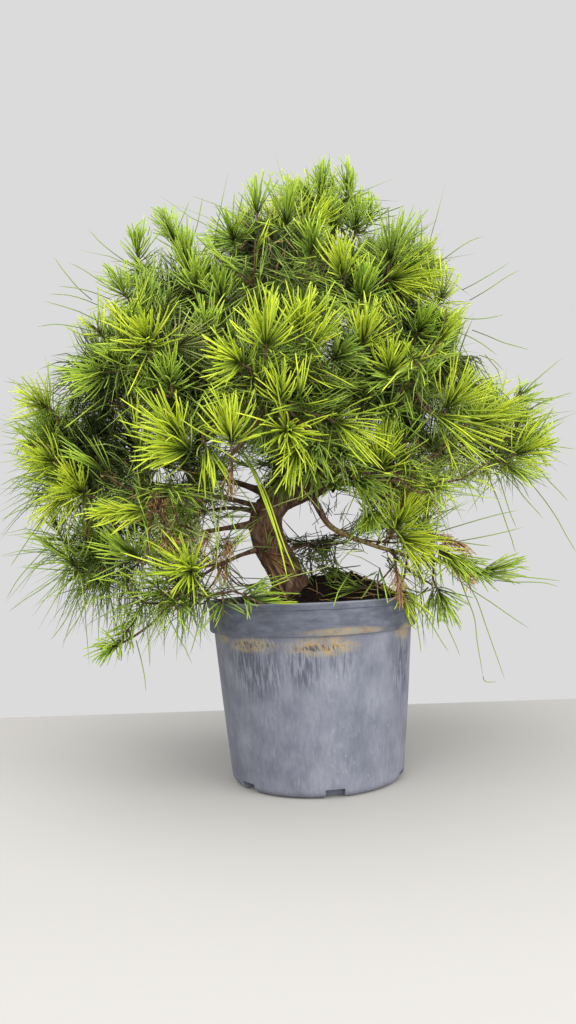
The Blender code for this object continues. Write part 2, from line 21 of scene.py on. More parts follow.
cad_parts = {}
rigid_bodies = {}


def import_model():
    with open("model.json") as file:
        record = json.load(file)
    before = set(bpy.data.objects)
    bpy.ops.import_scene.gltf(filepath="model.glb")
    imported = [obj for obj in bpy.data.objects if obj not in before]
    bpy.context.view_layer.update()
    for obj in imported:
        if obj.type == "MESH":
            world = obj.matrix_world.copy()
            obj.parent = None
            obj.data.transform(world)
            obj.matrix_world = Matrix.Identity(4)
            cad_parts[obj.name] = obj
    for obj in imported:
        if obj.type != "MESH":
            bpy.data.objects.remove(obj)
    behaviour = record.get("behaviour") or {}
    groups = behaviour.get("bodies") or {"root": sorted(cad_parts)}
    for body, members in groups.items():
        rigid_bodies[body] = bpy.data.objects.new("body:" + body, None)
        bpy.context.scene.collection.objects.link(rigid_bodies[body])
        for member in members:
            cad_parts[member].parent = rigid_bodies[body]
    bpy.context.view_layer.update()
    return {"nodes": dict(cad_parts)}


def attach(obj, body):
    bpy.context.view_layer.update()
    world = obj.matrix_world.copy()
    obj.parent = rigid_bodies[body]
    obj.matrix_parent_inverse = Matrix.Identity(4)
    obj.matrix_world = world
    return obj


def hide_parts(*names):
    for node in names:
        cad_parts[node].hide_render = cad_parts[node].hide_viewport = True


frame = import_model()

LOG = logging.getLogger("potted_aleppo_pine")
MM = 0.001
SEED = 7
UP = Vector((0, 0, 1))
GOLDEN_TURN = math.pi * (3 - math.sqrt(5))
BODY = "root"
PIECE_TRIANGLES = 190_000
# The colour sockets of a Mix node, by number
MIX_A, MIX_B, MIX_OUT = 6, 7, 2


# Helpers for finishes

def linear(code: str) -> tuple[float, float, float, float]:
    """Turns an sRGB hex value to linear colour.

    Args:
        code: The colour as "#rrggbb".

    Returns:
        Red, green, blue and alpha, linear.
    """
    values = [int(code[start : start + 2], 16) / 255 for start in (1, 3, 5)]
    bent = [value / 12.92 if value <= 0.04045 else ((value + 0.055) / 1.055) ** 2.4 for value in values]
    return (*bent, 1.0)


def add_node(tree: NodeTree, kind: str, sockets: dict | None = None, **settings) -> Node:
    """Adds a node with its settings and its links.

    Args:
        tree: The material's nodes.
        kind: The node's type, without the word ShaderNode.
        sockets: A value, or an output to link, for each input by name or number.
        **settings: Properties of the node itself.

    Returns:
        The new node.
    """
    node = tree.nodes.new("ShaderNode" + kind)
    for name, value in settings.items():
        setattr(node, name, value)
    for key, value in (sockets or {}).items():
        if isinstance(value, NodeSocket):
            tree.links.new(value, node.inputs[key])
        else:
            node.inputs[key].default_value = value
    return node


def new_finish(name: str, roughness: float, specular: float) -> tuple[Material, Node]:
    """Starts a material with a shader that the finish then fills in.

    Args:
        name: The material's name.
        roughness: Roughness where no pattern sets it.
        specular: Specular level of the surface.

    Returns:
        The material and its Principled shader.
    """
    material = bpy.data.materials.new(name)
    material.use_nodes = True
    shader = material.node_tree.nodes["Principled BSDF"]
    shader.inputs["Roughness"].default_value = roughness
    shader.inputs["Specular IOR Level"].default_value = specular
    return material, shader


def set_ramp(ramp: Node, *stops: tuple[float, str]) -> None:
    """Sets the colours of a ramp.

    Args:
        ramp: The ramp's node.
        *stops: Where each colour stands and its hex value: the two at the ends, and then any between.
    """
    elements = ramp.color_ramp.elements
    for index, (position, code) in enumerate(stops):
        element = elements[index] if index < 2 else elements.new(position)
        element.position = position
        element.color = linear(code)


class Tone(Enum):
    """The kinds of needle, from this spring's shoots to dead ones, and a dark shaded tone that is painted shade deep
    in the crown.
    """

    LIME = "lime"
    FRESH = "fresh"
    GREEN = "green"
    DEEP = "deep"
    OLIVE = "olive"
    DEAD = "dead"
    SHADED = "shaded"


@dataclass(frozen=True)
class NeedleFinish:
    """Pine needle, a waxy leaf: satin, darker at its foot and lighter at its tip; the darker foot is painted shade of
    a tuft's crowded middle.

    Each needle is a little different: a brighter one is also yellower.
    """

    tone: Tone
    foot: str
    tip: str
    roughness: float = 0.5
    specular: float = 0.22
    spread: float = 0.35
    bright_from: float = 0.6
    foot_end: float = 0.02
    spread_up: float = 0.6
    hues: tuple[float, float] = (0.515, 0.488)

    def material(self) -> Material:
        """Makes the material, shaded along each needle and a little different for each.

        Returns:
            The material.
        """
        material, shader = new_finish(f"needle_{self.tone.value}", self.roughness, self.specular)
        tree = material.node_tree
        along = add_node(tree, "Attribute", attribute_name="along").outputs["Fac"]
        tint = add_node(tree, "Attribute", attribute_name="tint").outputs["Fac"]
        limits = {"Value": along, "From Min": self.foot_end, "From Max": self.bright_from}
        rise = add_node(tree, "MapRange", limits, interpolation_type="SMOOTHSTEP")
        ends = {0: rise.outputs[0], MIX_A: linear(self.foot), MIX_B: linear(self.tip)}
        shade = add_node(tree, "Mix", ends, data_type="RGBA")
        limits = {"Value": tint, "To Min": 1 - self.spread, "To Max": 1 + self.spread * self.spread_up}
        value = add_node(tree, "MapRange", limits)
        hue = add_node(tree, "MapRange", {"Value": tint, "To Min": self.hues[0], "To Max": self.hues[1]})
        parts = {"Hue": hue.outputs[0], "Value": value.outputs[0], "Color": shade.outputs[MIX_OUT]}
        tuned = add_node(tree, "HueSaturation", parts)
        tree.links.new(tuned.outputs["Color"], shader.inputs["Base Color"])
        return material


@dataclass(frozen=True)
class BarkFinish:
    """Pine bark: dull flaking plates, grey-brown on the ridges and dark red-brown in the cracks.

    It may darken with its height, from shade_from to shade_to in metres: painted shade of the crown.
    """

    name: str = "pine_bark"
    crack: str = "#2a1d17"
    plate: str = "#664a3a"
    ridge: str = "#8d7867"
    plate_mm: float = 5.0
    stretch: float = 0.35
    shade: float = 0.0
    shade_from: float = 0.222
    shade_to: float = 0.262
    levels: tuple[float, float, float] = (0.36, 0.5, 0.72)
    grit_per_metre: float = 900.0
    grit_share: float = 0.35
    relief_mm: float = 0.6

    def material(self) -> Material:
        """Makes the material.

        Returns:
            The material.
        """
        material, shader = new_finish(self.name, 0.9, 0.2)
        tree = material.node_tree
        place = add_node(tree, "TexCoord").outputs["Object"]
        scale = 1 / (self.plate_mm * MM)
        drawn_out = add_node(tree, "Mapping", {"Vector": place, "Scale": (scale, scale, scale * self.stretch)})
        form = {"Scale": 1.0, "Detail": 6.0, "Roughness": 0.65, "Distortion": 0.6}
        plates = add_node(tree, "TexNoise", {"Vector": drawn_out.outputs[0], **form}).outputs[0]
        grit = add_node(tree, "TexNoise", {"Vector": place, "Scale": self.grit_per_metre, "Detail": 3.0})
        ramp = add_node(tree, "ValToRGB", {"Fac": plates})
        crack_at, plate_at, ridge_at = self.levels
        set_ramp(ramp, (crack_at, self.crack), (ridge_at, self.ridge), (plate_at, self.plate))
        layers = {0: self.grit_share, MIX_A: ramp.outputs["Color"], MIX_B: grit.outputs[0]}
        speckled = add_node(tree, "Mix", layers, data_type="RGBA", blend_type="OVERLAY")
        # Painted shade: the bark darkens towards the crack colour with its height
        height = add_node(tree, "SeparateXYZ", {0: place}).outputs["Z"]
        limits = {"Value": height, "From Min": self.shade_from, "From Max": self.shade_to, "To Max": self.shade}
        dim = add_node(tree, "MapRange", limits)
        layers = {0: dim.outputs[0], MIX_A: speckled.outputs[MIX_OUT], MIX_B: linear(self.crack)}
        shaded = add_node(tree, "Mix", layers, data_type="RGBA")
        tree.links.new(shaded.outputs[MIX_OUT], shader.inputs["Base Color"])
        bump = add_node(tree, "Bump", {"Strength": 0.7, "Distance": self.relief_mm * MM, "Height": plates})
        tree.links.new(bump.outputs[0], shader.inputs["Normal"])
        return material


@dataclass(frozen=True)
class Blot:
    """A soft-edged patch on the pot's wall: its middle in millimetres, its half sizes and its strength."""

    middle: tuple[float, float, float]
    across: float
    tall: float
    strength: float = 1.0


@dataclass(frozen=True)
class Cloud:
    """A noise of the pot's wall, cut to a range.

    It has its size in millimetres, how much it is drawn out upwards, the range, how strongly it covers
    what lies below it, its detail, and how far it leans aside, in radians.
    """

    size_mm: float
    tall: float
    low: float
    high: float
    strength: float = 1.0
    detail: float = 4.0
    lean: float = 0.0


@dataclass(frozen=True)
class FadedPlastic:
    """Black polypropylene, injection moulded, bleached by the sun to a chalky blue-grey.

    Rain has washed it in dark upright streaks, and iron-rich water has left ochre under the lip.
    """

    name: str = "faded_black_polypropylene"
    pale: str = "#787b85"
    faded: str = "#5e616d"
    washed: str = "#3f424f"
    lip: str = "#454955"
    rim: str = "#8c8f98"
    scuff: str = "#a6a8b0"
    halo: str = "#98977c"
    ochre: str = "#94794a"
    rust: str = "#8a642f"
    grime: str = "#35332f"
    lip_mm: float = 131.0
    lip_soft_mm: float = 1.5
    rim_mm: float = 156.8
    rim_soft_mm: float = 2
    rim_strength: float = 0.7
    blot_edge: tuple[float, float] = (0.45, 1.25)
    bleaching: Cloud = Cloud(24, 1.3, 0.34, 0.66, 1.0, 5.0)
    washing: Cloud = Cloud(2.4, 7, 0.48, 0.7, 0.28)
    rain: Cloud = Cloud(1.9, 13, 0.44, 0.56, 0.85, 3.0)
    rubbed_places: Cloud = Cloud(30, 1, 0.48, 0.62)
    rubbing: Cloud = Cloud(1.5, 14, 0.6, 0.74, 0.4, 2.0, 0.5)
    scratches: Cloud = Cloud(1.8, 12, 0.6, 0.76, 0.22, 3.0, -0.12)
    smudges: Cloud = Cloud(14, 0.35, 0.36, 0.68, 1.0, 5.0)
    halo_spots: Cloud = Cloud(12, 0.8, 0.3, 0.55, 0.55)
    ochre_spots: Cloud = Cloud(6, 0.5, 0.42, 0.6, 0.75)
    rust_spots: Cloud = Cloud(2.6, 0.7, 0.54, 0.66, 0.7)
    grime_lines: Cloud = Cloud(1.5, 3.5, 0.5, 0.6, 0.85, 2.0, 0.35)
    dust: Cloud = Cloud(1.2, 1, 0.68, 0.82, 0.2)
    dulling: Cloud = Cloud(8, 2, 0.3, 0.7)
    relief: Cloud = Cloud(2.0, 5, 0.3, 0.7, 1.0, 6.0)
    relief_mm: float = 0.25
    streaks: tuple[Blot, ...] = (
        Blot((-50, -74, 106), 30, 30),
        Blot((-8, -89, 108), 16, 22),
        Blot((22, -86, 112), 14, 16, 0.7),
        Blot((80, -44, 100), 20, 38, 1.0),
        Blot((-10, 88, 106), 50, 22),
        Blot((-86, 20, 108), 26, 24),
        Blot((72, 50, 112), 30, 20),
    )
    stains: tuple[Blot, ...] = (
        Blot((-52, -73, 124), 27, 6, 0.8),
        Blot((8, -89, 123), 30, 8, 1.0),
        Blot((26, -88, 134.5), 36, 3.5, 0.8),
        Blot((-78, -46, 128), 14, 5, 0.6),
        Blot((80, -46, 129), 16, 8, 0.9),
        Blot((-20, 87, 124), 34, 7, 0.8),
        Blot((78, 42, 125), 16, 6, 0.6),
    )
    smears: tuple[Blot, ...] = (
        Blot((-50, -74, 125), 26, 3.5),
        Blot((4, -89, 122), 24, 3.0),
        Blot((-20, 87, 124), 30, 3.0),
    )

    def mask(
        self, tree: NodeTree, place: NodeSocket, blots: tuple[Blot, ...]
    ) -> NodeSocket:
        """Joins soft patches to one mask.

        Args:
            tree: The material's nodes.
            place: The place on the object.
            blots: The patches.

        Returns:
            The output that holds the mask.
        """
        total = None
        for blot in blots:
            size = (blot.across * MM, blot.across * MM, blot.tall * MM)
            middle = [v * MM for v in blot.middle]
            shifted = add_node(tree, "VectorMath", {0: place, 1: middle}, operation="SUBTRACT")
            scaled = add_node(tree, "VectorMath", {0: shifted.outputs[0], 1: size}, operation="DIVIDE")
            away = add_node(tree, "VectorMath", {0: scaled.outputs[0]}, operation="LENGTH").outputs["Value"]
            inner, outer = self.blot_edge
            limits = {"From Min": inner, "From Max": outer, "To Min": blot.strength, "To Max": 0.0}
            faded = add_node(tree, "MapRange", {"Value": away, **limits}, interpolation_type="SMOOTHSTEP")
            soft = faded.outputs[0]
            if total is not None:
                soft = add_node(tree, "Math", {0: total, 1: soft}, operation="MAXIMUM").outputs[0]
            total = soft
        return total

    def material(self) -> Material:
        """Makes the material.

        Returns:
            The material.
        """
        material, shader = new_finish(self.name, 0.62, 0.35)
        tree = material.node_tree
        place = add_node(tree, "TexCoord").outputs["Object"]
        height = add_node(tree, "SeparateXYZ", {0: place}).outputs["Z"]

        def pattern(cloud: Cloud) -> NodeSocket:
            """Draws a noise of the wall.

            Args:
                cloud: The noise.

            Returns:
                The output that holds it, from 0 to 1.
            """
            grain = 1 / (cloud.size_mm * MM)
            leant = add_node(tree, "Mapping", {"Vector": place, "Rotation": (0, cloud.lean, 0)})
            size = (grain, grain, grain / cloud.tall)
            mapped = add_node(tree, "Mapping", {"Vector": leant.outputs[0], "Scale": size})
            form = {"Vector": mapped.outputs[0], "Scale": 1.0, "Detail": cloud.detail, "Roughness": 0.6}
            value = add_node(tree, "TexNoise", form).outputs[0]
            limits = {"Value": value, "From Min": cloud.low, "From Max": cloud.high}
            return add_node(tree, "MapRange", limits).outputs[0]

        def lay(
            under: NodeSocket | tuple, over: str, cloud: Cloud, *masks: NodeSocket
        ) -> NodeSocket:
            """Lays a colour over what is there, where a noise and the masks say.

            Args:
                under: The colour below.
                over: The hex value of the colour that goes on it.
                cloud: The noise.
                *masks: Masks that keep it to some places.

            Returns:
                The output that holds both.
            """
            share = pattern(cloud)
            for mask in (*masks, cloud.strength):
                share = add_node(tree, "Math", {0: share, 1: mask}, operation="MULTIPLY").outputs[0]
            sockets = {0: share, MIX_A: under, MIX_B: linear(over)}
            return add_node(tree, "Mix", sockets, data_type="RGBA").outputs[MIX_OUT]

        wall = lay(linear(self.faded), self.pale, self.bleaching)
        wall = lay(wall, self.washed, self.washing)
        wall = lay(wall, self.washed, self.rain, self.mask(tree, place, self.streaks))
        wall = lay(wall, self.scuff, self.rubbing, pattern(self.rubbed_places))
        wall = lay(wall, self.scuff, self.scratches)
        smudged = lay(linear(self.lip), self.faded, self.smudges)
        colour = wall
        for low, soft, strength, upper in (
            (self.lip_mm, self.lip_soft_mm, 1.0, smudged),
            (self.rim_mm, self.rim_soft_mm, self.rim_strength, linear(self.rim)),
        ):
            limits = {"Value": height, "From Min": low * MM, "From Max": (low + soft) * MM, "To Max": strength}
            above = add_node(tree, "MapRange", limits).outputs[0]
            sockets = {0: above, MIX_A: colour, MIX_B: upper}
            colour = add_node(tree, "Mix", sockets, data_type="RGBA").outputs[MIX_OUT]
        stains = self.mask(tree, place, self.stains)
        colour = lay(colour, self.halo, self.halo_spots, stains)
        colour = lay(colour, self.ochre, self.ochre_spots, stains)
        colour = lay(colour, self.rust, self.rust_spots, stains)
        colour = lay(colour, self.grime, self.grime_lines, self.mask(tree, place, self.smears))
        colour = lay(colour, self.scuff, self.dust)
        tree.links.new(colour, shader.inputs["Base Color"])
        rough = add_node(tree, "MapRange", {"Value": pattern(self.dulling), "To Min": 0.5, "To Max": 0.74})
        tree.links.new(rough.outputs[0], shader.inputs["Roughness"])
        limits = {"Strength": 0.3, "Distance": self.relief_mm * MM, "Height": pattern(self.relief)}
        bump = add_node(tree, "Bump", limits)
        tree.links.new(bump.outputs[0], shader.inputs["Normal"])
        return material


@dataclass(frozen=True)
class GrainFinish:
    """A dull material of two mixed colours: potting soil, moss and the like."""

    name: str
    dark: str
    light: str
    grain_mm: float
    roughness: float = 0.95
    bump_mm: float = 0.4
    levels: tuple[float, float] = (0.4, 0.7)

    def material(self) -> Material:
        """Makes the material.

        Returns:
            The material.
        """
        material, shader = new_finish(self.name, self.roughness, 0.15)
        tree = material.node_tree
        place = add_node(tree, "TexCoord").outputs["Object"]
        form = {"Vector": place, "Scale": 1 / (self.grain_mm * MM), "Detail": 5.0, "Roughness": 0.7}
        grain = add_node(tree, "TexNoise", form).outputs[0]
        ramp = add_node(tree, "ValToRGB", {"Fac": grain})
        set_ramp(ramp, (self.levels[0], self.dark), (self.levels[1], self.light))
        tree.links.new(ramp.outputs["Color"], shader.inputs["Base Color"])
        bump = add_node(tree, "Bump", {"Strength": 0.6, "Distance": self.bump_mm * MM, "Height": grain})
        tree.links.new(bump.outputs[0], shader.inputs["Normal"])
        return material


# The photo's camera

@dataclass(frozen=True)
class PhotoView:
    """The camera that took the photo. It turns places into pixels of the photo and back."""

    place: tuple[float, float, float] = (0.0, -0.685, 0.192)
    pitch: float = 3.82
    roll: float = 2.23
    yaw: float = 1.53
    focal_px: float = 739.0
    width_px: int = 576
    height_px: int = 1024

    def turn(self) -> Matrix:
        """Works out how the camera is turned.

        Returns:
            The camera's rotation.
        """
        level = Matrix.Rotation(math.radians(self.yaw), 3, "Z")
        nod = Matrix.Rotation(math.radians(90 + self.pitch), 3, "X")
        bank = Matrix.Rotation(math.radians(-self.roll), 3, "Z")
        return level @ nod @ bank

    def pixels(self, points: np.ndarray) -> np.ndarray:
        """Where places fall in the photo.

        Args:
            points: Places, one to a row.

        Returns:
            Pixels across and down, one place to a row.
        """
        seen = (points - np.array(self.place)) @ np.array(self.turn())
        depth = -seen[:, 2]
        across = self.width_px / 2 + self.focal_px * seen[:, 0] / depth
        down = self.height_px / 2 - self.focal_px * seen[:, 1] / depth
        return np.stack([across, down], axis=1)

    def place_at(self, across: float, down: float, depth: float) -> Vector:
        """The place seen at a pixel.

        Args:
            across: Pixels from the photo's left edge.
            down: Pixels from its top edge.
            depth: The place's y, in metres.

        Returns:
            The place.
        """
        ray = Vector((across - self.width_px / 2, self.height_px / 2 - down, -self.focal_px))
        ray = self.turn() @ ray
        start = Vector(self.place)
        return start + ray * ((depth - start.y) / ray.y)

    def direction(self, across: float, down: float, toward: float) -> Vector:
        """A direction given as the photo shows it.

        Args:
            across: Its share to the right.
            down: Its share downwards.
            toward: Its share towards the camera.

        Returns:
            The direction, of length one.
        """
        return (self.turn() @ Vector((across, -down, toward))).normalized()

    def add_camera(self) -> None:
        """Puts the camera in the scene."""
        data = bpy.data.cameras.new("camera")
        data.sensor_width = 36
        data.lens = data.sensor_width * self.focal_px / self.height_px
        camera = bpy.data.objects.new("camera", data)
        camera.matrix_world = Matrix.Translation(self.place) @ self.turn().to_4x4()
        bpy.context.scene.collection.objects.link(camera)
        bpy.context.scene.camera = camera


@dataclass(frozen=True)
class Patch:
    """An oval of the photo, in pixels, and the share of the needles that is left out in it."""

    across: float
    down: float
    half_across: float
    half_down: float
    open: float
    ends_at: float = 1.15
    edge_slope: float = 2.6

    def share(self, pixels: np.ndarray) -> np.ndarray:
        """Works out how much is left out, less and less towards the patch's edge.

        Args:
            pixels: Pixels, one to a row.

        Returns:
            The share that is left out at each of them.
        """
        x = (pixels[:, 0] - self.across) / self.half_across
        y = (pixels[:, 1] - self.down) / self.half_down
        return self.open * np.clip((self.ends_at - x**2 - y**2) * self.edge_slope, 0, 1)


# The outline that no needle of the masses ends outside, clockwise from the top, in pixels of the photo
CROWN_OUTLINE = (
    (322, 156), (348, 155), (362, 180), (385, 208), (432, 205), (430, 235), (445, 256), (468, 280),
    (472, 316), (455, 338), (464, 354), (492, 368), (530, 376), (558, 394), (556, 430), (558, 456),
    (548, 486), (516, 490), (480, 496), (450, 505), (446, 528), (470, 545), (500, 546), (528, 546),
    (530, 580), (500, 592), (466, 604), (466, 628), (440, 630), (412, 630), (385, 606), (300, 602),
    (272, 600), (252, 620), (222, 620), (206, 636), (178, 642), (150, 630), (134, 656), (100, 668),
    (80, 652), (92, 622), (56, 612), (28, 590), (16, 560), (10, 520), (8, 480), (16, 450), (7, 420),
    (12, 392), (20, 372), (50, 360), (84, 344), (66, 326), (84, 314), (102, 300), (92, 280),
    (104, 262), (116, 248), (128, 224), (142, 220), (154, 206), (200, 204), (226, 204), (248, 176),
    (272, 166), (300, 172),
)
# The closer outline that twigs, boughs and the feet of needles keep to
BODY_OUTLINE = (
    (250, 205), (290, 190), (330, 180), (355, 190), (370, 222), (400, 235), (425, 240), (440, 268),
    (456, 290), (456, 318), (442, 344), (452, 370), (484, 386), (532, 394), (540, 415), (536, 440),
    (522, 462), (500, 470), (470, 478), (440, 490), (430, 515), (438, 542), (455, 560), (474, 576),
    (462, 590), (440, 602), (425, 612), (410, 606), (385, 596), (300, 596), (262, 592), (240, 605),
    (205, 605), (186, 608), (150, 604), (120, 600), (95, 582), (60, 562), (42, 540), (34, 510),
    (30, 475), (36, 450), (26, 420), (30, 396), (48, 382), (74, 368), (98, 350), (104, 328),
    (112, 306), (118, 284), (130, 266), (160, 268), (180, 278), (205, 262), (212, 240), (235, 225),
)


def inside(pixels: np.ndarray, outline: tuple) -> np.ndarray:
    """Which pixels lie inside a closed outline.

    Args:
        pixels: Pixels, one to a row.
        outline: The outline's corners in pixels.

    Returns:
        True for each pixel inside.
    """
    within = np.zeros(len(pixels), bool)
    x, y = pixels[:, 0], pixels[:, 1]
    for (x0, y0), (x1, y1) in zip(outline, (*outline[1:], outline[0])):
        spans = (y0 > y) != (y1 > y)
        if y0 != y1:
            within ^= spans & (x < x0 + (y - y0) * (x1 - x0) / (y1 - y0))
    return within


# The pixel that the crown's outline is made ragged about
CROWN_MIDDLE = (288, 420)
# Where the photo shows the wall through the crown: round the trunk, below the boughs and at the left
SKY_WINDOWS = (
    Patch(307, 520, 30, 18, 0.98),
    Patch(338, 511, 20, 20, 0.97),
    Patch(364, 562, 19, 20, 0.93),
    Patch(345, 556, 12, 9, 0.85),
    Patch(322, 548, 44, 18, 0.6),
    Patch(250, 560, 13, 20, 0.97),
    Patch(246, 494, 13, 6, 0.9),
    Patch(249, 473, 18, 6, 0.9),
    Patch(222, 522, 20, 17, 0.85),
    Patch(262, 456, 10, 4, 0.85),
    Patch(168, 476, 22, 8, 0.9),
    Patch(208, 574, 9, 8, 0.85),
)
# Where the photo shows the dark inside of the crown between fresh shoots
DARK_GAPS = (
    Patch(268, 256, 38, 42, 0.9),
    Patch(104, 432, 36, 62, 0.9),
    Patch(92, 560, 26, 30, 0.4),
    Patch(172, 402, 16, 22, 0.6),
    Patch(222, 386, 30, 18, 0.7),
    Patch(318, 386, 28, 26, 0.7),
    Patch(404, 414, 28, 26, 0.65),
    Patch(405, 322, 30, 18, 0.6),
    Patch(286, 476, 26, 20, 0.85),
    Patch(345, 290, 22, 12, 0.6),
    Patch(180, 300, 14, 24, 0.6),
)
# Where the foliage is thin and light, low down and at the right; needles there take lighter tones as painted light
AIRY_PATCHES = (
    Patch(182, 535, 50, 50, 0.3),
    Patch(450, 562, 85, 80, 0.72),
    Patch(480, 470, 60, 26, 0.5),
    Patch(520, 425, 46, 60, 0.4),
    Patch(385, 560, 30, 50, 0.6),
)
# Where it is only thin
THIN_PATCHES = (
    *AIRY_PATCHES,
    Patch(165, 572, 100, 62, 0.62),
    Patch(40, 540, 42, 72, 0.5),
)
# A dark gap holds no needle before this depth, in metres
GAP_FRONT = -0.1
# In an airy patch a needle takes a lighter tone: painted light
AIRY_TONE = {Tone.DEEP: Tone.OLIVE, Tone.GREEN: Tone.FRESH}


def most_open(patches: tuple[Patch, ...], pixels: np.ndarray) -> np.ndarray:
    """The largest share that any of the patches leaves out at each of these pixels."""
    return np.max([patch.share(pixels) for patch in patches], axis=0)


# Meshes joined from arrays

@dataclass
class MeshParts:
    """Small shapes joined into one mesh, kept as arrays until the object is made."""

    points: list = field(default_factory=list)
    corners: list = field(default_factory=list)
    sizes: list = field(default_factory=list)
    along: list = field(default_factory=list)
    tint: list = field(default_factory=list)
    count: int = 0

    def add(self, points: np.ndarray, faces: list, along: np.ndarray, tint: np.ndarray) -> None:
        """Adds points and the faces between them.

        Args:
            points: Places, one to a row.
            faces: Arrays of faces, each array with one face to a row.
            along: A value for each point, from foot to tip.
            tint: A value for each point that is the same all over a shape.
        """
        for rows in faces:
            self.corners.append(rows.ravel() + self.count)
            self.sizes.append(np.full(len(rows), rows.shape[1]))
        self.points.append(points)
        self.along.append(along)
        self.tint.append(tint)
        self.count += len(points)

    def add_tubes(
        self, centres: np.ndarray, radii: np.ndarray, sides: int, tint: np.ndarray, pointed: bool
    ) -> None:
        """Adds tapering tubes that all have the same number of rings.

        Args:
            centres: The middle of each ring of each tube.
            radii: The radius of each ring of each tube.
            sides: Sides of a ring.
            tint: A value for each tube.
            pointed: Whether the last ring is a point.
        """
        tubes, stops = radii.shape
        rings = stops - 1 if pointed else stops
        steps = np.diff(centres, axis=1)
        tangents = np.concatenate([steps[:, :1], (steps[:, 1:] + steps[:, :-1]) / 2, steps[:, -1:]], axis=1)
        tangents /= np.linalg.norm(tangents, axis=2, keepdims=True) + 1e-12
        upright = np.abs(tangents[:, 0, 2:3]) > 0.9
        guide = np.where(upright, np.array([[1.0, 0, 0]]), np.array([[0, 0, 1.0]]))
        turns = np.arange(sides) * math.tau / sides
        grid = np.empty((tubes, rings, sides, 3))
        across = np.cross(tangents[:, 0], guide)
        for ring in range(rings):
            tangent = tangents[:, ring]
            across -= tangent * (across * tangent).sum(axis=1, keepdims=True)
            across /= np.linalg.norm(across, axis=1, keepdims=True) + 1e-12
            third = np.cross(tangent, across)
            round_ring = np.cos(turns)[:, None] * across[:, None] + np.sin(turns)[:, None] * third[:, None]
            grid[:, ring] = centres[:, ring, None] + round_ring * radii[:, ring, None, None]
        each = rings * sides + (1 if pointed else 0)
        points = grid.reshape(tubes, rings * sides, 3)
        along = np.repeat(np.linspace(0, 1, stops)[:rings], sides)
        if pointed:
            points = np.concatenate([points, centres[:, -1:]], axis=1)
            along = np.append(along, 1.0)
        first = np.arange(tubes)[:, None, None] * each
        side = np.arange(sides)
        after = (side + 1) % sides
        ring = np.arange(rings - 1)[:, None] * sides
        quads = np.stack([ring + side, ring + after, ring + after + sides, ring + side + sides], axis=-1)
        faces = [(quads.reshape(1, -1, 4) + first).reshape(-1, 4)]
        faces.append((side[::-1].reshape(1, 1, -1) + first).reshape(-1, sides))
        last = (rings - 1) * sides
        if pointed:
            tip = np.stack([last + side, last + after, np.full(sides, rings * sides)], axis=-1)
            faces.append((tip[None] + first).reshape(-1, 3))
        else:
            faces.append(((side + last).reshape(1, 1, -1) + first).reshape(-1, sides))
        self.add(points.reshape(-1, 3), faces, np.tile(along, tubes), np.repeat(tint, each))

    def build(self, name: str, material: Material | None = None, smooth: bool = True) -> Object:
        """Makes the object.

        Args:
            name: The object's name.
            material: Its finish, where it has one yet.
            smooth: Whether it is shaded smooth.

        Returns:
            The object, at the origin.
        """
        points = np.concatenate(self.points).astype(np.float32)
        corners = np.concatenate(self.corners).astype(np.int32)
        sizes = np.concatenate(self.sizes).astype(np.int32)
        mesh = bpy.data.meshes.new(name)
        mesh.vertices.add(len(points))
        mesh.vertices.foreach_set("co", points.ravel())
        mesh.loops.add(len(corners))
        mesh.loops.foreach_set("vertex_index", corners)
        mesh.polygons.add(len(sizes))
        mesh.polygons.foreach_set("loop_start", np.concatenate([[0], np.cumsum(sizes)[:-1]]).astype(np.int32))
        mesh.polygons.foreach_set("use_smooth", np.full(len(sizes), smooth))
        for label, values in (("along", self.along), ("tint", self.tint)):
            attribute = mesh.attributes.new(label, "FLOAT", "POINT")
            attribute.data.foreach_set("value", np.concatenate(values).astype(np.float32))
        mesh.update(calc_edges=True)
        if material:
            mesh.materials.append(material)
        obj = bpy.data.objects.new(name, mesh)
        bpy.context.scene.collection.objects.link(obj)
        return obj


def keep(obj: Object, slot: str, *nodes: str) -> Object:
    """Hands a finished piece over: what it rides on and what it stands for.

    Args:
        obj: The piece.
        slot: The record's material slot; not used.
        *nodes: The plain solids it stands for.

    Returns:
        The piece.
    """
    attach(obj, BODY)
    if nodes:
        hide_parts(*nodes)
    LOG.info("%s: %d faces", obj.name, len(obj.data.polygons))
    return obj


def select_only(*objects: Object) -> None:
    """Selects these objects and no others, and makes the first of them active.

    Args:
        *objects: The objects.
    """
    for other in bpy.context.view_layer.objects:
        other.select_set(other in objects)
    bpy.context.view_layer.objects.active = objects[0]


# The tree's rule of growth

@dataclass(frozen=True)
class Mass:
    """A mass of needles, in millimetres: its heart, its spread, and how its limb leaves the trunk."""

    name: str
    heart: tuple[float, float, float]
    spread: float
    fork: float
    girth: float = 4.0
    bow: float = 0.0
    draw: int = 0
    shoots: int = 4
    weep: float = 0.0
    dead: int = 2


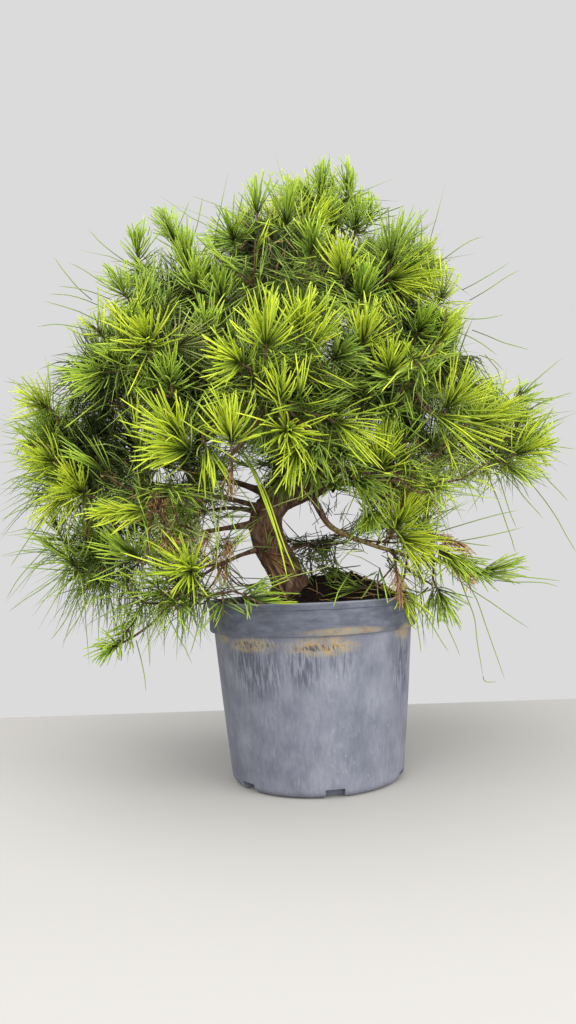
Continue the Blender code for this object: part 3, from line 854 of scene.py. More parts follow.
@dataclass
class Tree:
    """The tree's limbs and the space of each mass, by the rule that the solids follow."""

    trunk: tuple = (
        (-17, 8, 163, 17.5),
        (-24, 5, 184, 15.8),
        (-36, 1, 208, 15.6),
        (-39, -2, 232, 15.2),
        (-27, -3, 249, 13.6),
        (-6, -1, 257, 11.8),
        (14, 3, 266, 10.8),
        (25, 6, 292, 9.4),
        (18, 8, 345, 7.4),
        (8, 8, 405, 5.6),
        (22, 10, 465, 4.0),
        (38, 14, 515, 2.4),
    )
    masses: tuple[Mass, ...] = (
        Mass("crown_tip", (38, 12, 540), 70, 515),
        Mass("crown_left", (-42, -22, 495), 88, 440, 3.0, draw=4),
        Mass("crown_back", (2, 88, 478), 92, 420, 3.2, 8),
        Mass("shoulder_right", (105, 2, 462), 86, 405, 3.8, 12, draw=1, shoots=3),
        Mass("shoulder_left", (-138, 4, 462), 92, 388, 4.0, 14, draw=6, shoots=3),
        Mass("front_upper", (-28, -112, 410), 92, 372, 4.0, 10, draw=7),
        Mass("left_upper", (-208, -12, 385), 92, 342, 4.6, 16, weep=0.3),
        Mass("right_upper", (170, -22, 372), 90, 345, 4.4, 12, draw=1, shoots=2),
        Mass("back_upper_left", (-108, 122, 392), 96, 356, 4.2, 12, draw=3),
        Mass("back_upper_right", (108, 128, 376), 96, 350, 4.2, 12, draw=6, shoots=3),
        Mass("front_left", (-128, -122, 345), 90, 310, 4.8, 8),
        Mass("front_middle", (-22, -150, 318), 84, 300, 4.6, 6, draw=7),
        Mass("front_right", (82, -122, 335), 90, 318, 4.4, 10, draw=2),
        Mass("back_middle", (-10, 178, 330), 92, 312, 4.8, 12, draw=1),
        Mass("left_far", (-222, 2, 290), 92, 250, 5.4, 14, draw=5, shoots=3, weep=0.8),
        Mass("right_far", (192, 12, 288), 92, 284, 5.0, 16, draw=5, shoots=2, weep=0.5),
        Mass("front_low_left", (-118, -122, 250), 84, 240, 4.6, 4, draw=3, shoots=2, weep=0.4, dead=5),
        Mass("front_low_right", (92, -112, 252), 84, 272, 4.2, 6, draw=6, shoots=2, weep=0.4, dead=5),
        Mass("left_low", (-190, -28, 196), 92, 228, 4.8, 6, draw=7, shoots=1, weep=1.0, dead=5),
        Mass("foot_left", (-108, -62, 172), 82, 206, 4.0, 6, draw=7, shoots=1, weep=0.6, dead=8),
        Mass("right_low", (120, -28, 186), 92, 258, 4.2, -26, draw=1, shoots=1, weep=0.6, dead=4),
        Mass("back_low_right", (112, 118, 236), 94, 268, 4.8, 8, draw=4, shoots=1, weep=0.5),
        Mass("back_low_left", (-132, 118, 244), 94, 236, 5.0, 8, draw=1, shoots=1, weep=0.5),
        Mass("foot_back", (20, 78, 210), 66, 196, 3.0, 4, shoots=1),
    )
    crown_low: tuple = (-283, -214, 84)
    crown_high: tuple = (249, 226, 592)
    stem_tip: float = 1.7
    pot_radius: float = 95
    pot_height: float = 158.6
    rim_width: float = 6
    pot_gap: float = 2
    soil_gap: float = 1.5
    soil_edge: float = 151
    heap_height: float = 28
    heap_middle: tuple = (26, 14)
    heap_radius: float = 74
    window_bough: str = "right_low"
    window_line: tuple = (
        (313, 478), (313, 494), (319, 510), (330, 526), (347, 536),
        (367, 543), (392, 552), (420, 559), (446, 562),
    )

    def __post_init__(self) -> None:
        """Works out the trunk's line, and that of the bough in the photo's window, once."""
        self.line = smooth_path([Vector(node) * MM for node in self.trunk], 8)
        self.hearts = np.array([mass.heart for mass in self.masses]) * MM
        self.window_path = []
        seen = next(mass for mass in self.masses if mass.name == self.window_bough)
        last = len(self.window_line) - 1
        nodes = []
        for index, (across, down) in enumerate(self.window_line):
            nodes.append(PhotoView().place_at(across, down, self.limb_point(seen, index / last).y))
        self.window_path = smooth_path(nodes, 8)

    def trunk_at(self, height: float) -> Vector:
        """Finds the point of the trunk's axis at a height.

        Args:
            height: The height, in metres.

        Returns:
            The point.
        """
        for low, high in zip(self.line, self.line[1:]):
            if low.z <= height <= high.z:
                return low.to_3d().lerp(high.to_3d(), (height - low.z) / (high.z - low.z))
        return self.line[-1].to_3d()

    def limb_point(self, mass: Mass, share: float) -> Vector:
        """Finds a point on the line from the trunk's axis to the heart of a mass.

        Args:
            mass: The mass.
            share: How far along: 0 is the trunk's axis and 1 the heart.

        Returns:
            The point.
        """
        if mass.name == self.window_bough and self.window_path:
            step = min(share, 0.9999) * (len(self.window_path) - 1)
            return self.window_path[int(step)].lerp(self.window_path[int(step) + 1], step % 1)
        start = self.trunk_at(mass.fork * MM)
        end = Vector(mass.heart) * MM
        middle = (start + end) / 2 + UP * mass.bow * MM * 2
        return start * (1 - share) ** 2 + middle * 2 * share * (1 - share) + end * share**2

    def limb_radius(self, mass: Mass, share: float) -> float:
        """The limb's radius there: it tapers all the way to the heart."""
        return (mass.girth + (self.stem_tip - mass.girth) * share**0.8) * MM

    def reach(self, mass: Mass, way: Vector) -> float:
        """Works out how far a mass may spread from its heart, by its neighbours and the crown's box.

        Args:
            mass: The mass.
            way: The way that it spreads.

        Returns:
            How far, in metres.
        """
        heart = Vector(mass.heart) * MM
        reach = mass.spread * MM
        for other in self.masses:
            away = (Vector(other.heart) - Vector(mass.heart)) * MM
            lean = way.dot(away.normalized()) if other is not mass else 0
            if lean > 0:
                reach = min(reach, away.length / 2 / lean)
        for axis in range(3):
            edge = (self.crown_high if way[axis] > 0 else self.crown_low)[axis] * MM
            if abs(way[axis]) > 0.01:
                reach = min(reach, (edge - heart[axis]) / way[axis])
        return reach

    def soil_height(self, x: np.ndarray, y: np.ndarray) -> np.ndarray:
        """Works out the soil's height: level at the wall, and heaped up beside the trunk.

        Args:
            x: Where, in metres.
            y: Where, in metres.

        Returns:
            The height there, in metres.
        """
        away = np.hypot(x - self.heap_middle[0] * MM, y - self.heap_middle[1] * MM) / (self.heap_radius * MM)
        heap = np.cos(np.minimum(away, 1) * math.pi / 2) ** 1.5
        return (self.soil_edge + self.heap_height * heap) * MM

    def in_pot(self, points: np.ndarray) -> np.ndarray:
        """Finds the places that are inside the pot or the soil, or too near to them.

        Args:
            points: Places, one to a row.

        Returns:
            True for each of those places.
        """
        radius = np.hypot(points[:, 0], points[:, 1]) / MM
        rim = np.where(radius > self.pot_radius - self.rim_width, self.pot_height, 0) * MM
        top = np.maximum(rim, self.soil_height(points[:, 0], points[:, 1]))
        return (radius < self.pot_radius + self.pot_gap) & (points[:, 2] < top + self.soil_gap * MM)


def smooth_path(points: list[Vector], steps: int) -> list[Vector]:
    """Points on a Catmull-Rom curve.

    Args:
        points: The points that the curve passes.
        steps: Steps to each stretch.

    Returns:
        The curve's points.
    """
    ends = [points[0] * 2 - points[1], *points, points[-1] * 2 - points[-2]]
    path = []
    for before, first, second, after in zip(ends, ends[1:], ends[2:], ends[3:]):
        for step in range(steps):
            t = step / steps
            path.append(
                0.5
                * (
                    first * 2
                    + (second - before) * t
                    + (before * 2 - first * 5 + second * 4 - after) * t**2
                    + (first * 3 - before - second * 3 + after) * t**3
                )
            )
    return [*path, points[-1].copy()]


# Foliage

class Cut(Enum):
    """How finely a needle is drawn: the stops along it and its girth at each."""

    FINE = ((0.0, 0.55, 1.0), (0.85, 1.0, 0.0))
    BOLD = ((0.0, 0.45, 0.9, 1.0), (0.75, 1.0, 0.8, 0.0))
    SHOWN = ((0.0, 0.25, 0.5, 0.75, 0.94, 1.0), (0.7, 0.95, 1.0, 0.95, 0.7, 0.0))


@dataclass(frozen=True)
class Spray:
    """The needles along a stretch of shoot, from its foot to its tip, in millimetres and degrees."""

    tone: Tone
    count: int
    length: tuple[float, float]
    splay: tuple[float, float]
    girth: float = 0.55
    droop: float = 2.0
    curl: float = 3.0
    crowding: float = 0.8
    sway: float = 2.2
    ragged: float = 0.05
    cut: Cut = Cut.FINE


@dataclass(frozen=True)
class Rosette:
    """A shoot that the photo shows plainly: its foot in pixels and depth, the way it points, its needles."""

    across: float
    down: float
    depth: float
    way: tuple[float, float, float]
    needle_px: float
    tone: Tone
    count: int = 60
    run_px: float = 16
    open_splay: float = 80
    end_splay: float = 6

    def disc(self) -> tuple[float, float, float, float]:
        """Works out the round patch of the photo that nothing may hide.

        Returns:
            Its middle across and down in pixels, the depth before which it is kept free, and its radius.
        """
        across, down, _ = Vector(self.way).normalized() * (self.needle_px * 0.4 + self.run_px * 0.5)
        share = 0.35 if self.tone in (Tone.DEAD, Tone.DEEP) else 0.56
        return self.across + across, self.down + down, (self.depth + 18) * MM, self.needle_px * share


# Short names of the tones for the two tables below
L, F, G, O = Tone.LIME, Tone.FRESH, Tone.GREEN, Tone.OLIVE

# The shoots that the photo shows plainly, in the order of Rosette's fields
ROSETTES = tuple(Rosette(*row) for row in (
    (150, 347, -172, (-0.1, -0.45, 0.9), 44, L, 60), (266, 350, -188, (0.0, -1, 0.4), 50, L, 68),
    (300, 336, -178, (0.12, -1, 0.35), 38, L, 58), (245, 366, -182, (-0.75, -0.35, 0.6), 38, L, 50),
    (171, 388, -165, (0.0, -1, 0.3), 30, F, 50), (182, 440, -172, (-0.7, -0.8, 0.35), 50, L, 46),
    (361, 348, -145, (0.25, -1, 0.3), 38, L, 54), (232, 446, -188, (-0.05, -1, 0.35), 42, L, 68),
    (281, 404, -185, (-0.05, -1, 0.3), 30, L, 48), (192, 451, -168, (-1, -0.1, 0.35), 48, L, 60),
    (286, 431, -182, (0.15, 0.15, 0.95), 44, L, 50), (388, 413, -135, (0.0, 0.0, 1), 34, G, 40),
    (332, 482, -112, (0.0, 0.1, 1), 28, G, 34), (192, 573, -150, (-0.05, -0.35, 0.9), 42, L, 66),
    (152, 511, -130, (-1, 0.0, 0.15), 30, L, 62, 40, 50), (86, 495, -84, (-0.35, -0.25, 0.85), 30, L, 40),
    (50, 410, -56, (-0.8, -0.5, 0.25), 40, L, 62), (40, 446, -60, (-1, -0.1, 0.2), 28, F, 40),
    (58, 464, -64, (-0.8, -0.35, 0.3), 34, L, 48), (76, 488, -54, (-0.8, 0.6, 0.15), 50, L, 40),
    (84, 490, -60, (-0.6, -0.8, 0.4), 28, L, 36), (139, 560, -106, (-0.8, -0.7, 0.2), 38, F, 48),
    (146, 600, -62, (-0.52, 0.86, 0.1), 24, F, 60, 56, 58, 44),
    (118, 645, -62, (-0.9, 0.45, 0.2), 28, F, 46, 8, 85, 30), (240, 594, -108, (0.9, 0.35, 0.3), 40, F, 74, 26),
    (222, 600, -100, (0.1, 1, 0.3), 34, F, 40), (138, 264, -24, (0.0, -1, 0.1), 28, F, 66, 28, 50),
    (180, 254, -4, (-0.42, -1, 0.1), 30, F, 78, 40, 50), (190, 278, -34, (-0.15, -1, 0.2), 32, F, 70, 26, 50),
    (235, 244, -66, (-0.1, -0.3, 0.8), 38, F, 50), (257, 216, -24, (-0.12, -1, 0.1), 46, F, 50, 8, 34),
    (286, 226, -14, (0.1, -1, 0.15), 40, F, 60, 12, 50), (197, 294, -94, (-0.05, -1, 0.2), 28, F, 48),
    (221, 304, -105, (0.0, -1, 0.2), 32, F, 54), (104, 338, -104, (-0.7, -0.8, 0.4), 40, L, 54),
    (172, 350, -150, (0.85, -0.5, 0.3), 46, O, 40), (304, 234, -48, (0.5, -0.5, 0.4), 34, L, 50),
    (312, 258, -74, (0.0, -1, 0.4), 32, F, 50), (343, 281, -95, (-0.1, -1, 0.3), 38, L, 54),
    (390, 260, -46, (0.42, -1, 0.2), 50, F, 44, 16, 56), (388, 270, -60, (0.1, -0.9, 0.4), 34, G, 46),
    (322, 212, 6, (0.0, -1, 0.1), 25, F, 90, 34, 62, 14),
    (347, 210, 16, (0.05, -1, 0.1), 27, F, 96, 36, 62, 14), (354, 236, -10, (0.2, -1, 0.3), 32, F, 60),
    (334, 236, -24, (0.0, -1, 0.3), 34, G, 50), (366, 226, 0, (0.35, -0.9, 0.2), 30, F, 44),
    (384, 281, -48, (1, -0.05, 0.2), 46, L, 60), (438, 306, -36, (0.45, -0.9, 0.2), 42, L, 60),
    (415, 338, -84, (0.3, -0.5, 0.7), 34, F, 50), (360, 302, -100, (0.2, -0.9, 0.4), 34, F, 48),
    (389, 376, -138, (0.0, -1, 0.3), 34, L, 52), (444, 411, -98, (0.62, -0.85, 0.3), 54, L, 58, 16, 62),
    (470, 424, -72, (0.95, -0.35, 0.3), 48, L, 50, 18, 60), (512, 404, -24, (0.6, -0.8, 0.2), 32, F, 56),
    (512, 456, -36, (1, -0.4, 0.2), 40, L, 60), (500, 462, -46, (0.8, 0.65, 0.3), 42, F, 50),
    (532, 446, -30, (1, -0.1, 0.1), 34, F, 50), (404, 446, -115, (-0.5, -0.5, 0.6), 34, F, 44),
    (381, 470, -125, (0.05, -1, 0.4), 42, L, 56), (372, 510, -96, (-0.2, 0.4, 0.8), 30, F, 40),
    (393, 532, -94, (0.4, -0.85, 0.3), 38, L, 54), (396, 536, -94, (0.95, 0.3, 0.3), 50, L, 50),
    (476, 575, -44, (1, -0.32, 0.1), 46, F, 60, 16, 46), (450, 558, -44, (1, 0.5, 0.1), 22, F, 46, 30, 60),
    (438, 548, -60, (0.7, 0.5, 0.3), 36, F, 40), (402, 590, -66, (0.0, 1, 0.3), 36, L, 62),
    (436, 586, -44, (0.35, 0.9, 0.2), 36, F, 56), (380, 560, -70, (-0.2, 1, 0.3), 44, F, 40),
    (281, 551, -30, (1, 0.33, 0.1), 25, Tone.DEEP, 104, 68, 62, 40),
    (262, 552, -28, (0.8, 0.6, 0.1), 36, Tone.DEAD, 26, 8, 40),
    (158, 510, -118, (0.1, -0.4, 0.9), 26, Tone.DEAD, 22, 8, 85),
    (164, 522, -116, (0.1, 0.2, 0.9), 24, O, 18, 10, 85),
    (164, 538, -118, (0.5, 0.1, 0.8), 18, Tone.DEAD, 20, 8, 85),
    (184, 526, -112, (0.7, 0.2, 0.6), 24, O, 22, 12, 85),
    (214, 530, -94, (-0.5, 0.5, 0.6), 26, Tone.DEAD, 36, 10, 85),
    (228, 560, -66, (-0.6, 0.5, 0.5), 26, Tone.DEAD, 30, 10, 80),
    (232, 462, -156, (0.1, 1, 0.2), 28, Tone.DEAD, 24, 8, 40),
    (434, 536, -66, (0.9, 0.3, 0.3), 11, Tone.DEAD, 60, 28, 60),
    (446, 553, -56, (0.65, 0.8, 0.2), 10, Tone.DEAD, 60, 32, 60),
    (225, 532, -92, (0.25, 1, 0.3), 9, Tone.DEAD, 50, 18, 80),
    (396, 566, -76, (0.1, 1, 0.3), 9, Tone.DEAD, 60, 30, 60), (336, 452, -154, (0.3, 0.1, 0.9), 36, G, 40),
    (318, 440, -168, (-0.1, 0.5, 0.8), 34, G, 40), (356, 478, -134, (0.5, 0.4, 0.7), 36, G, 40),
    (312, 460, -112, (0.1, 0.7, 0.7), 32, G, 48), (286, 468, -100, (-0.1, 0.8, 0.5), 24, Tone.DEEP, 50),
    (346, 470, -118, (0.4, 0.6, 0.7), 32, F, 44), (330, 360, -168, (0.6, -0.2, 0.7), 38, G, 40),
    (300, 442, -174, (-0.3, 0.9, 0.5), 46, L, 26), (330, 420, -168, (0.9, 0.5, 0.5), 52, L, 26),
    (205, 440, -168, (0.2, 1, 0.4), 44, L, 26), (432, 414, -104, (0.85, 0.6, 0.4), 70, L, 22, 18, 50),
    (112, 372, -120, (-0.8, 0.2, 0.5), 40, F, 40), (210, 340, -150, (-0.1, -0.8, 0.6), 34, F, 46),
    (128, 300, -60, (-0.5, -0.8, 0.3), 34, F, 50),
))


@dataclass(frozen=True)
class Strand:
    """A long needle that the photo shows on its own: its line in pixels, its depth in millimetres."""

    tone: Tone
    depth: float
    line: tuple[tuple[float, float], ...]
    girth: float = 0.46


# The long needles that stand alone, in the order of Strand's fields
STRANDS = tuple(Strand(*row) for row in (
    (L, -150, ((240, 448), (252, 468), (262, 490), (270, 512), (277, 535), (283, 558), (288, 582)), 0.75),
    (L, -146, ((243, 452), (257, 474), (268, 498), (277, 525), (285, 548), (291, 562), (296, 574)), 0.6),
    (L, -150, ((236, 450), (247, 462), (256, 480), (265, 503), (273, 525), (279, 540), (284, 553)), 0.55),
    (L, -120, ((428, 410), (440, 420), (453, 432), (468, 444), (482, 453), (496, 460)), 0.6),
    (L, -118, ((434, 424), (446, 438), (459, 450), (474, 461), (490, 470), (506, 477)), 0.5),
    (F, -140, ((213, 468), (218, 485), (224, 502), (229, 515), (235, 528), (239, 538), (243, 546))),
    (F, -145, ((206, 460), (209, 480), (212, 500), (214, 515), (216, 530), (216, 541), (217, 551))),
    (O, -130, ((232, 452), (226, 475), (222, 500), (219, 522), (218, 540), (217, 560), (214, 578))),
    (O, -120, ((298, 484), (304, 491), (309, 497), (315, 504), (321, 511))),
    (O, -120, ((262, 510), (272, 507), (282, 503), (291, 500), (300, 497), (310, 492), (318, 489))),
    (O, -125, ((232, 476), (238, 486), (245, 495), (251, 503), (257, 515))),
    (O, -110, ((266, 477), (280, 476), (295, 475), (306, 475), (318, 475))),
    (F, -110, ((350, 572), (344, 582), (338, 592), (334, 605), (333, 606))),
    (O, -100, ((272, 582), (290, 577), (305, 573), (320, 569), (334, 564))),
    (G, -60, ((455, 565), (462, 585), (470, 605), (475, 620), (477, 640), (480, 658), (483, 676))),
    (G, -60, ((483, 676), (484, 680), (487, 682), (492, 682), (497, 682)), 0.34),
    (G, -60, ((456, 560), (466, 580), (477, 600), (484, 620), (491, 640), (498, 660), (505, 680))),
    (G, -70, ((420, 605), (428, 618), (435, 630), (442, 642), (449, 652))),
    (G, -70, ((436, 600), (443, 615), (449, 630), (455, 643), (460, 656))),
    (G, -70, ((412, 598), (416, 615), (418, 630), (420, 642), (421, 653))),
    (G, -60, ((452, 575), (472, 590), (492, 603), (512, 617), (530, 629))),
    (G, -50, ((494, 580), (512, 582), (530, 582), (546, 583), (559, 587))),
    (G, -50, ((484, 572), (505, 574), (525, 577), (545, 579), (562, 581))),
    (G, -50, ((438, 532), (458, 526), (478, 520), (500, 514), (520, 510))),
    (G, -50, ((440, 545), (460, 541), (482, 537), (505, 532), (524, 527))),
    (G, -50, ((436, 540), (452, 542), (466, 543), (480, 545), (492, 546))),
    (G, -30, ((482, 462), (490, 480), (498, 500), (505, 520), (512, 540), (514, 548), (516, 552))),
    (G, -30, ((492, 462), (500, 480), (506, 500), (511, 515), (517, 529))),
    (G, -30, ((512, 462), (530, 482), (546, 502), (558, 520), (566, 535), (572, 545), (576, 552))),
    (G, -30, ((500, 470), (514, 484), (525, 498), (534, 508), (543, 518))),
    (G, -20, ((524, 452), (540, 470), (550, 482), (560, 492), (569, 502))),
    (G, -40, ((455, 470), (466, 480), (474, 488), (480, 494), (484, 504))),
    (G, -60, ((66, 520), (48, 545), (30, 565), (16, 582), (6, 600))),
    (G, -60, ((80, 555), (60, 575), (40, 590), (24, 600), (8, 612))),
    (G, -60, ((92, 560), (80, 590), (70, 612), (60, 628), (50, 641))),
    (G, -60, ((100, 565), (92, 590), (82, 612), (72, 628), (62, 643))),
    (G, -60, ((60, 500), (42, 520), (28, 540), (18, 555), (10, 567))),
    (G, -60, ((78, 590), (100, 598), (118, 606), (136, 612), (150, 616))),
    (G, -80, ((143, 600), (146, 620), (148, 638), (149, 652), (150, 668))),
    (G, -80, ((160, 600), (170, 620), (178, 636), (186, 650), (192, 664))),
    (G, -80, ((206, 600), (202, 615), (197, 630), (194, 642), (190, 655))),
    (G, -80, ((136, 640), (140, 655), (143, 668), (145, 680), (146, 692))),
    (G, -80, ((120, 600), (119, 612), (121, 625), (121, 634), (122, 645))),
    (G, -30, ((52, 440), (36, 436), (22, 434), (10, 433), (0, 431))),
    (G, -30, ((50, 470), (34, 472), (20, 476), (10, 480), (0, 486))),
    (G, -30, ((50, 490), (34, 498), (20, 506), (10, 514), (2, 522))),
    (G, -30, ((92, 300), (78, 288), (68, 276), (60, 266), (54, 256))),
    (G, -40, ((118, 292), (100, 281), (84, 270), (68, 262))),
    (G, -40, ((112, 300), (92, 292), (76, 288), (58, 286))),
    (G, -50, ((100, 322), (80, 312), (62, 306), (44, 301))),
    (G, -50, ((96, 332), (76, 327), (56, 324), (36, 327))),
    (G, -40, ((104, 308), (86, 300), (68, 295), (48, 294))),
    (G, -40, ((60, 395), (40, 389), (20, 384), (2, 381))),
    (G, -40, ((62, 404), (42, 396), (24, 388), (6, 376))),
    (G, -40, ((56, 420), (36, 419), (16, 421), (0, 426))),
    (G, -50, ((48, 470), (34, 462), (18, 455), (2, 452))),
    (G, -50, ((50, 505), (34, 506), (18, 511), (0, 520))),
    (G, -40, ((176, 232), (184, 214), (190, 199))),
    (G, -40, ((190, 246), (197, 226), (201, 206), (203, 197))),
    (G, -40, ((126, 262), (112, 252), (98, 240), (88, 228))),
    (G, -40, ((440, 262), (456, 250), (470, 241), (484, 236))),
    (G, -40, ((452, 316), (470, 319), (488, 318), (506, 314))),
    (G, -40, ((450, 330), (468, 336), (484, 345), (498, 356))),
    (G, -30, ((520, 396), (536, 380), (550, 368), (562, 358))),
    (G, -30, ((528, 410), (544, 402), (560, 396), (574, 392))),
    (G, -30, ((524, 440), (542, 444), (560, 447), (576, 449))),
    (G, -30, ((470, 300), (484, 292), (496, 284), (508, 276), (520, 270))),
    (G, -30, ((472, 330), (488, 336), (502, 342), (516, 346), (530, 350))),
    (G, -30, ((462, 290), (474, 284), (486, 277), (498, 270), (510, 262))),
))


class Foliage:
    """All twigs and needles of the crown, gathered as arrays before they become pieces."""

    tested = (0.0, 0.35, 0.7, 1.0)
    strand_girths = ((0, 0.5, 0.9, 1), (0.8, 1, 0.7, 0))

    def __init__(self, tree: Tree, view: PhotoView) -> None:
        """Starts with no needles.

        Args:
            tree: The tree that they grow on.
            view: The photo's camera, for the outlines and patches that the needles keep to.
        """
        self.tree = tree
        self.view = view
        self.needles: dict[tuple[Tone, Cut], list[np.ndarray]] = {}
        self.twigs: list[tuple[np.ndarray, float, float, int]] = []
        self.shown = np.array([rosette.disc() for rosette in ROSETTES])

    def hides_shown(self, places: np.ndarray, pixels: np.ndarray) -> np.ndarray:
        """Which places lie before a shoot that the photo shows plainly.

        Args:
            places: Places, one to a row.
            pixels: Where they fall in the photo.

        Returns:
            True for each place that would hide such a shoot.
        """
        away = np.linalg.norm(pixels[:, None] - self.shown[None, :, :2], axis=2)
        return ((away < self.shown[:, 3]) & (places[:, 1:2] < self.shown[:, 2])).any(axis=1)

    def grow_twig(
        self, start: Vector, foot: Vector, tip: Vector, thick: float, thin: float, owner: int, shown: bool = False
    ) -> None:
        """Adds a twig that sags from start to foot and runs straight on to its tip.

        Args:
            start: Where it leaves its limb.
            foot: Where its fresh shoot starts.
            tip: Its end.
            thick: Its radius at the start, in millimetres.
            thin: Its radius at the tip, in millimetres.
            owner: The number of its mass.
            shown: Whether the photo shows its shoot plainly.
        """
        sag = UP * (foot - start).length * 0.08
        bend = start.lerp(foot, 0.55) - sag
        path = np.array(smooth_path([start, bend, foot, foot.lerp(tip, 0.6), tip], 2))
        pixels = self.view.pixels(path)
        if (most_open(SKY_WINDOWS, pixels) > 0.8).any():
            return
        if shown or not (self.hides_shown(path, pixels).any() or not inside(pixels, BODY_OUTLINE).all()):
            self.twigs.append((path, thick * MM, thin * MM, owner))

    def grow_spray(self, foot: Vector, tip: Vector, spray: Spray, owner: int, rng: Generator) -> None:
        """Adds the needles along a stretch of shoot.

        Args:
            foot: The stretch's start.
            tip: Its end.
            spray: The needles' number and shape.
            owner: The number of the mass.
            rng: The seeded source of chance.
        """
        axis = np.array((tip - foot).normalized())
        run = (tip - foot).length
        guide = np.array((0, 0, 1.0) if abs(axis[2]) < 0.9 else (1.0, 0, 0))
        across = np.cross(axis, guide)
        across /= np.linalg.norm(across)
        third = np.cross(axis, across)
        share = ((np.arange(spray.count) + 0.5) / spray.count) ** spray.crowding
        turn = np.arange(spray.count) * GOLDEN_TURN + rng.uniform(0, math.tau)
        turn += rng.normal(0, 0.25, spray.count)
        side = np.cos(turn)[:, None] * across + np.sin(turn)[:, None] * third
        splay = np.radians(spray.splay[0] + (spray.splay[1] - spray.splay[0]) * share)
        splay = np.clip(splay + rng.normal(0, 0.13, spray.count), 0.04, 1.9)
        way = axis * np.cos(splay)[:, None] + side * np.sin(splay)[:, None]
        length = (spray.length[0] + (spray.length[1] - spray.length[0]) * share) * MM
        length *= rng.uniform(0.6, 1.2, spray.count)
        base = np.array(foot) + axis * run * share[:, None] + side * 0.6 * MM
        bend = (axis - way * np.cos(splay)[:, None]) * spray.curl * MM
        bend += rng.normal(0, spray.sway * MM, (spray.count, 3))
        bend[:, 2] -= spray.droop * MM * rng.uniform(0.3, 1.4, spray.count)
        self.keep_needles(base, way * length[:, None], bend, spray, owner, rng)

    def keep_needles(
        self, base: np.ndarray, reach: np.ndarray, bend: np.ndarray, spray: Spray, owner: int, rng: Generator
    ) -> None:
        """Keeps the needles that stay in the crown, out of the pot and out of the windows of sky.

        One draw of luck settles all the stretches of a needle, so that a patch thins it only once. A dark gap
        of the crown holds no needles at its front and, behind, needles of the dark shaded tone, which is painted
        shade; an airy patch holds lighter ones, which is painted light.

        Args:
            base: Where each needle starts.
            reach: From there to its tip, before it bends.
            bend: How far its tip bends aside.
            spray: The needles' shape and tone.
            owner: The number of the mass.
            rng: The seeded source of chance.
        """
        low = np.array(self.tree.crown_low) * MM
        high = np.array(self.tree.crown_high) * MM
        tip = base + reach + bend
        over = np.maximum(np.maximum(tip - high, low - tip), 0).max(axis=1)
        size = np.linalg.norm(reach, axis=1)
        short = np.clip(1 - over / size, 0.3, 1)[:, None]
        reach, bend = reach * short, bend * short
        good = over < size * 0.6
        luck = rng.random((3, len(base)))
        for share in self.tested:
            at = base + reach * share + bend * share**2
            good &= ~self.tree.in_pot(at)
            pixels = self.view.pixels(at)
            good &= luck[0] > most_open(SKY_WINDOWS, pixels)
            if spray.cut is not Cut.SHOWN:
                good &= ~self.hides_shown(at, pixels)
        middle = np.array(CROWN_MIDDLE)
        pulled = middle + (pixels - middle) * (1 - spray.ragged * rng.random((len(base), 1)))
        good &= inside(pulled, CROWN_OUTLINE)
        shaded = np.zeros(len(base), bool)
        airy = np.zeros(len(base), bool)
        if spray.cut is not Cut.SHOWN:
            good &= luck[1] > most_open(THIN_PATCHES, pixels)
            airy = most_open(AIRY_PATCHES, pixels) > 0
            if spray.tone is not Tone.DEAD:
                shaded = (luck[2] < most_open(DARK_GAPS, pixels)) & (at[:, 1] < 0)
                good &= ~(shaded & (at[:, 1] < GAP_FRONT))
        tint = rng.random(len(base))
        # Needles in a dark gap take the shaded tone, painted shade; those in an airy patch a lighter tone, painted
        # light
        for chosen, tone, cut in (
            (good & ~shaded & ~airy, spray.tone, spray.cut),
            (good & shaded, Tone.SHADED, Cut.FINE),
            (good & ~shaded & airy, AIRY_TONE.get(spray.tone, spray.tone), spray.cut),
        ):
            count = int(chosen.sum())
            if count:
                girth = np.full(count, spray.girth * MM)
                extra = np.stack([girth, tint[chosen], np.full(count, owner)], axis=1)
                rows = np.hstack([base[chosen], reach[chosen], bend[chosen], extra])
                self.needles.setdefault((tone, cut), []).append(rows)

    def needle_pieces(self, finishes: dict[Tone, Material]) -> None:
        """Joins the needles of each tone into pieces.

        Args:
            finishes: The material of each tone.
        """
        sides = 3
        for (tone, cut), parts in self.needles.items():
            stops, girths = np.array(cut.value)
            each = 2 * sides * (len(stops) - 2) + 2 * sides - 2
            rows = np.concatenate(parts)
            rows = rows[np.argsort(rows[:, 11], kind="stable")]
            for number, chunk in enumerate(np.array_split(rows, math.ceil(len(rows) * each / PIECE_TRIANGLES))):
                base, reach, bend = chunk[:, 0:3], chunk[:, 3:6], chunk[:, 6:9]
                centres = base[:, None] + reach[:, None] * stops[:, None] + bend[:, None] * stops[:, None] ** 2
                mesh = MeshParts()
                mesh.add_tubes(centres, chunk[:, 9:10] * girths, sides, chunk[:, 10], pointed=True)
                obj = mesh.build(f"needles_{tone.value}_{cut.name.lower()}_{number + 1}", finishes[tone])
                names = [self.tree.masses[int(owner)].name for owner in np.unique(chunk[:, 11])]
                keep(obj, "needles", *names)

    def strand_pieces(self, finishes: dict[Tone, Material]) -> None:
        """Makes the long needles that the photo shows on their own.

        Args:
            finishes: The material of each tone.
        """
        for tone in (Tone.LIME, Tone.FRESH, Tone.GREEN, Tone.OLIVE):
            mesh = MeshParts()
            owners = set()
            for strand in STRANDS:
                if strand.tone is not tone:
                    continue
                depth = strand.depth * MM
                line = smooth_path([self.view.place_at(u, v, depth) for u, v in strand.line], 2)
                centres = np.array(line)[None]
                girths = np.interp(np.linspace(0, 1, len(line)), *self.strand_girths)
                mesh.add_tubes(centres, girths[None] * strand.girth * MM, 4, np.array([0.5]), pointed=True)
                owners.add(int(np.argmin(np.linalg.norm(self.tree.hearts - centres[0, 0], axis=1))))
            names = [self.tree.masses[owner].name for owner in sorted(owners)]
            keep(mesh.build(f"long_needles_{tone.value}", finishes[tone]), "needles", *names)

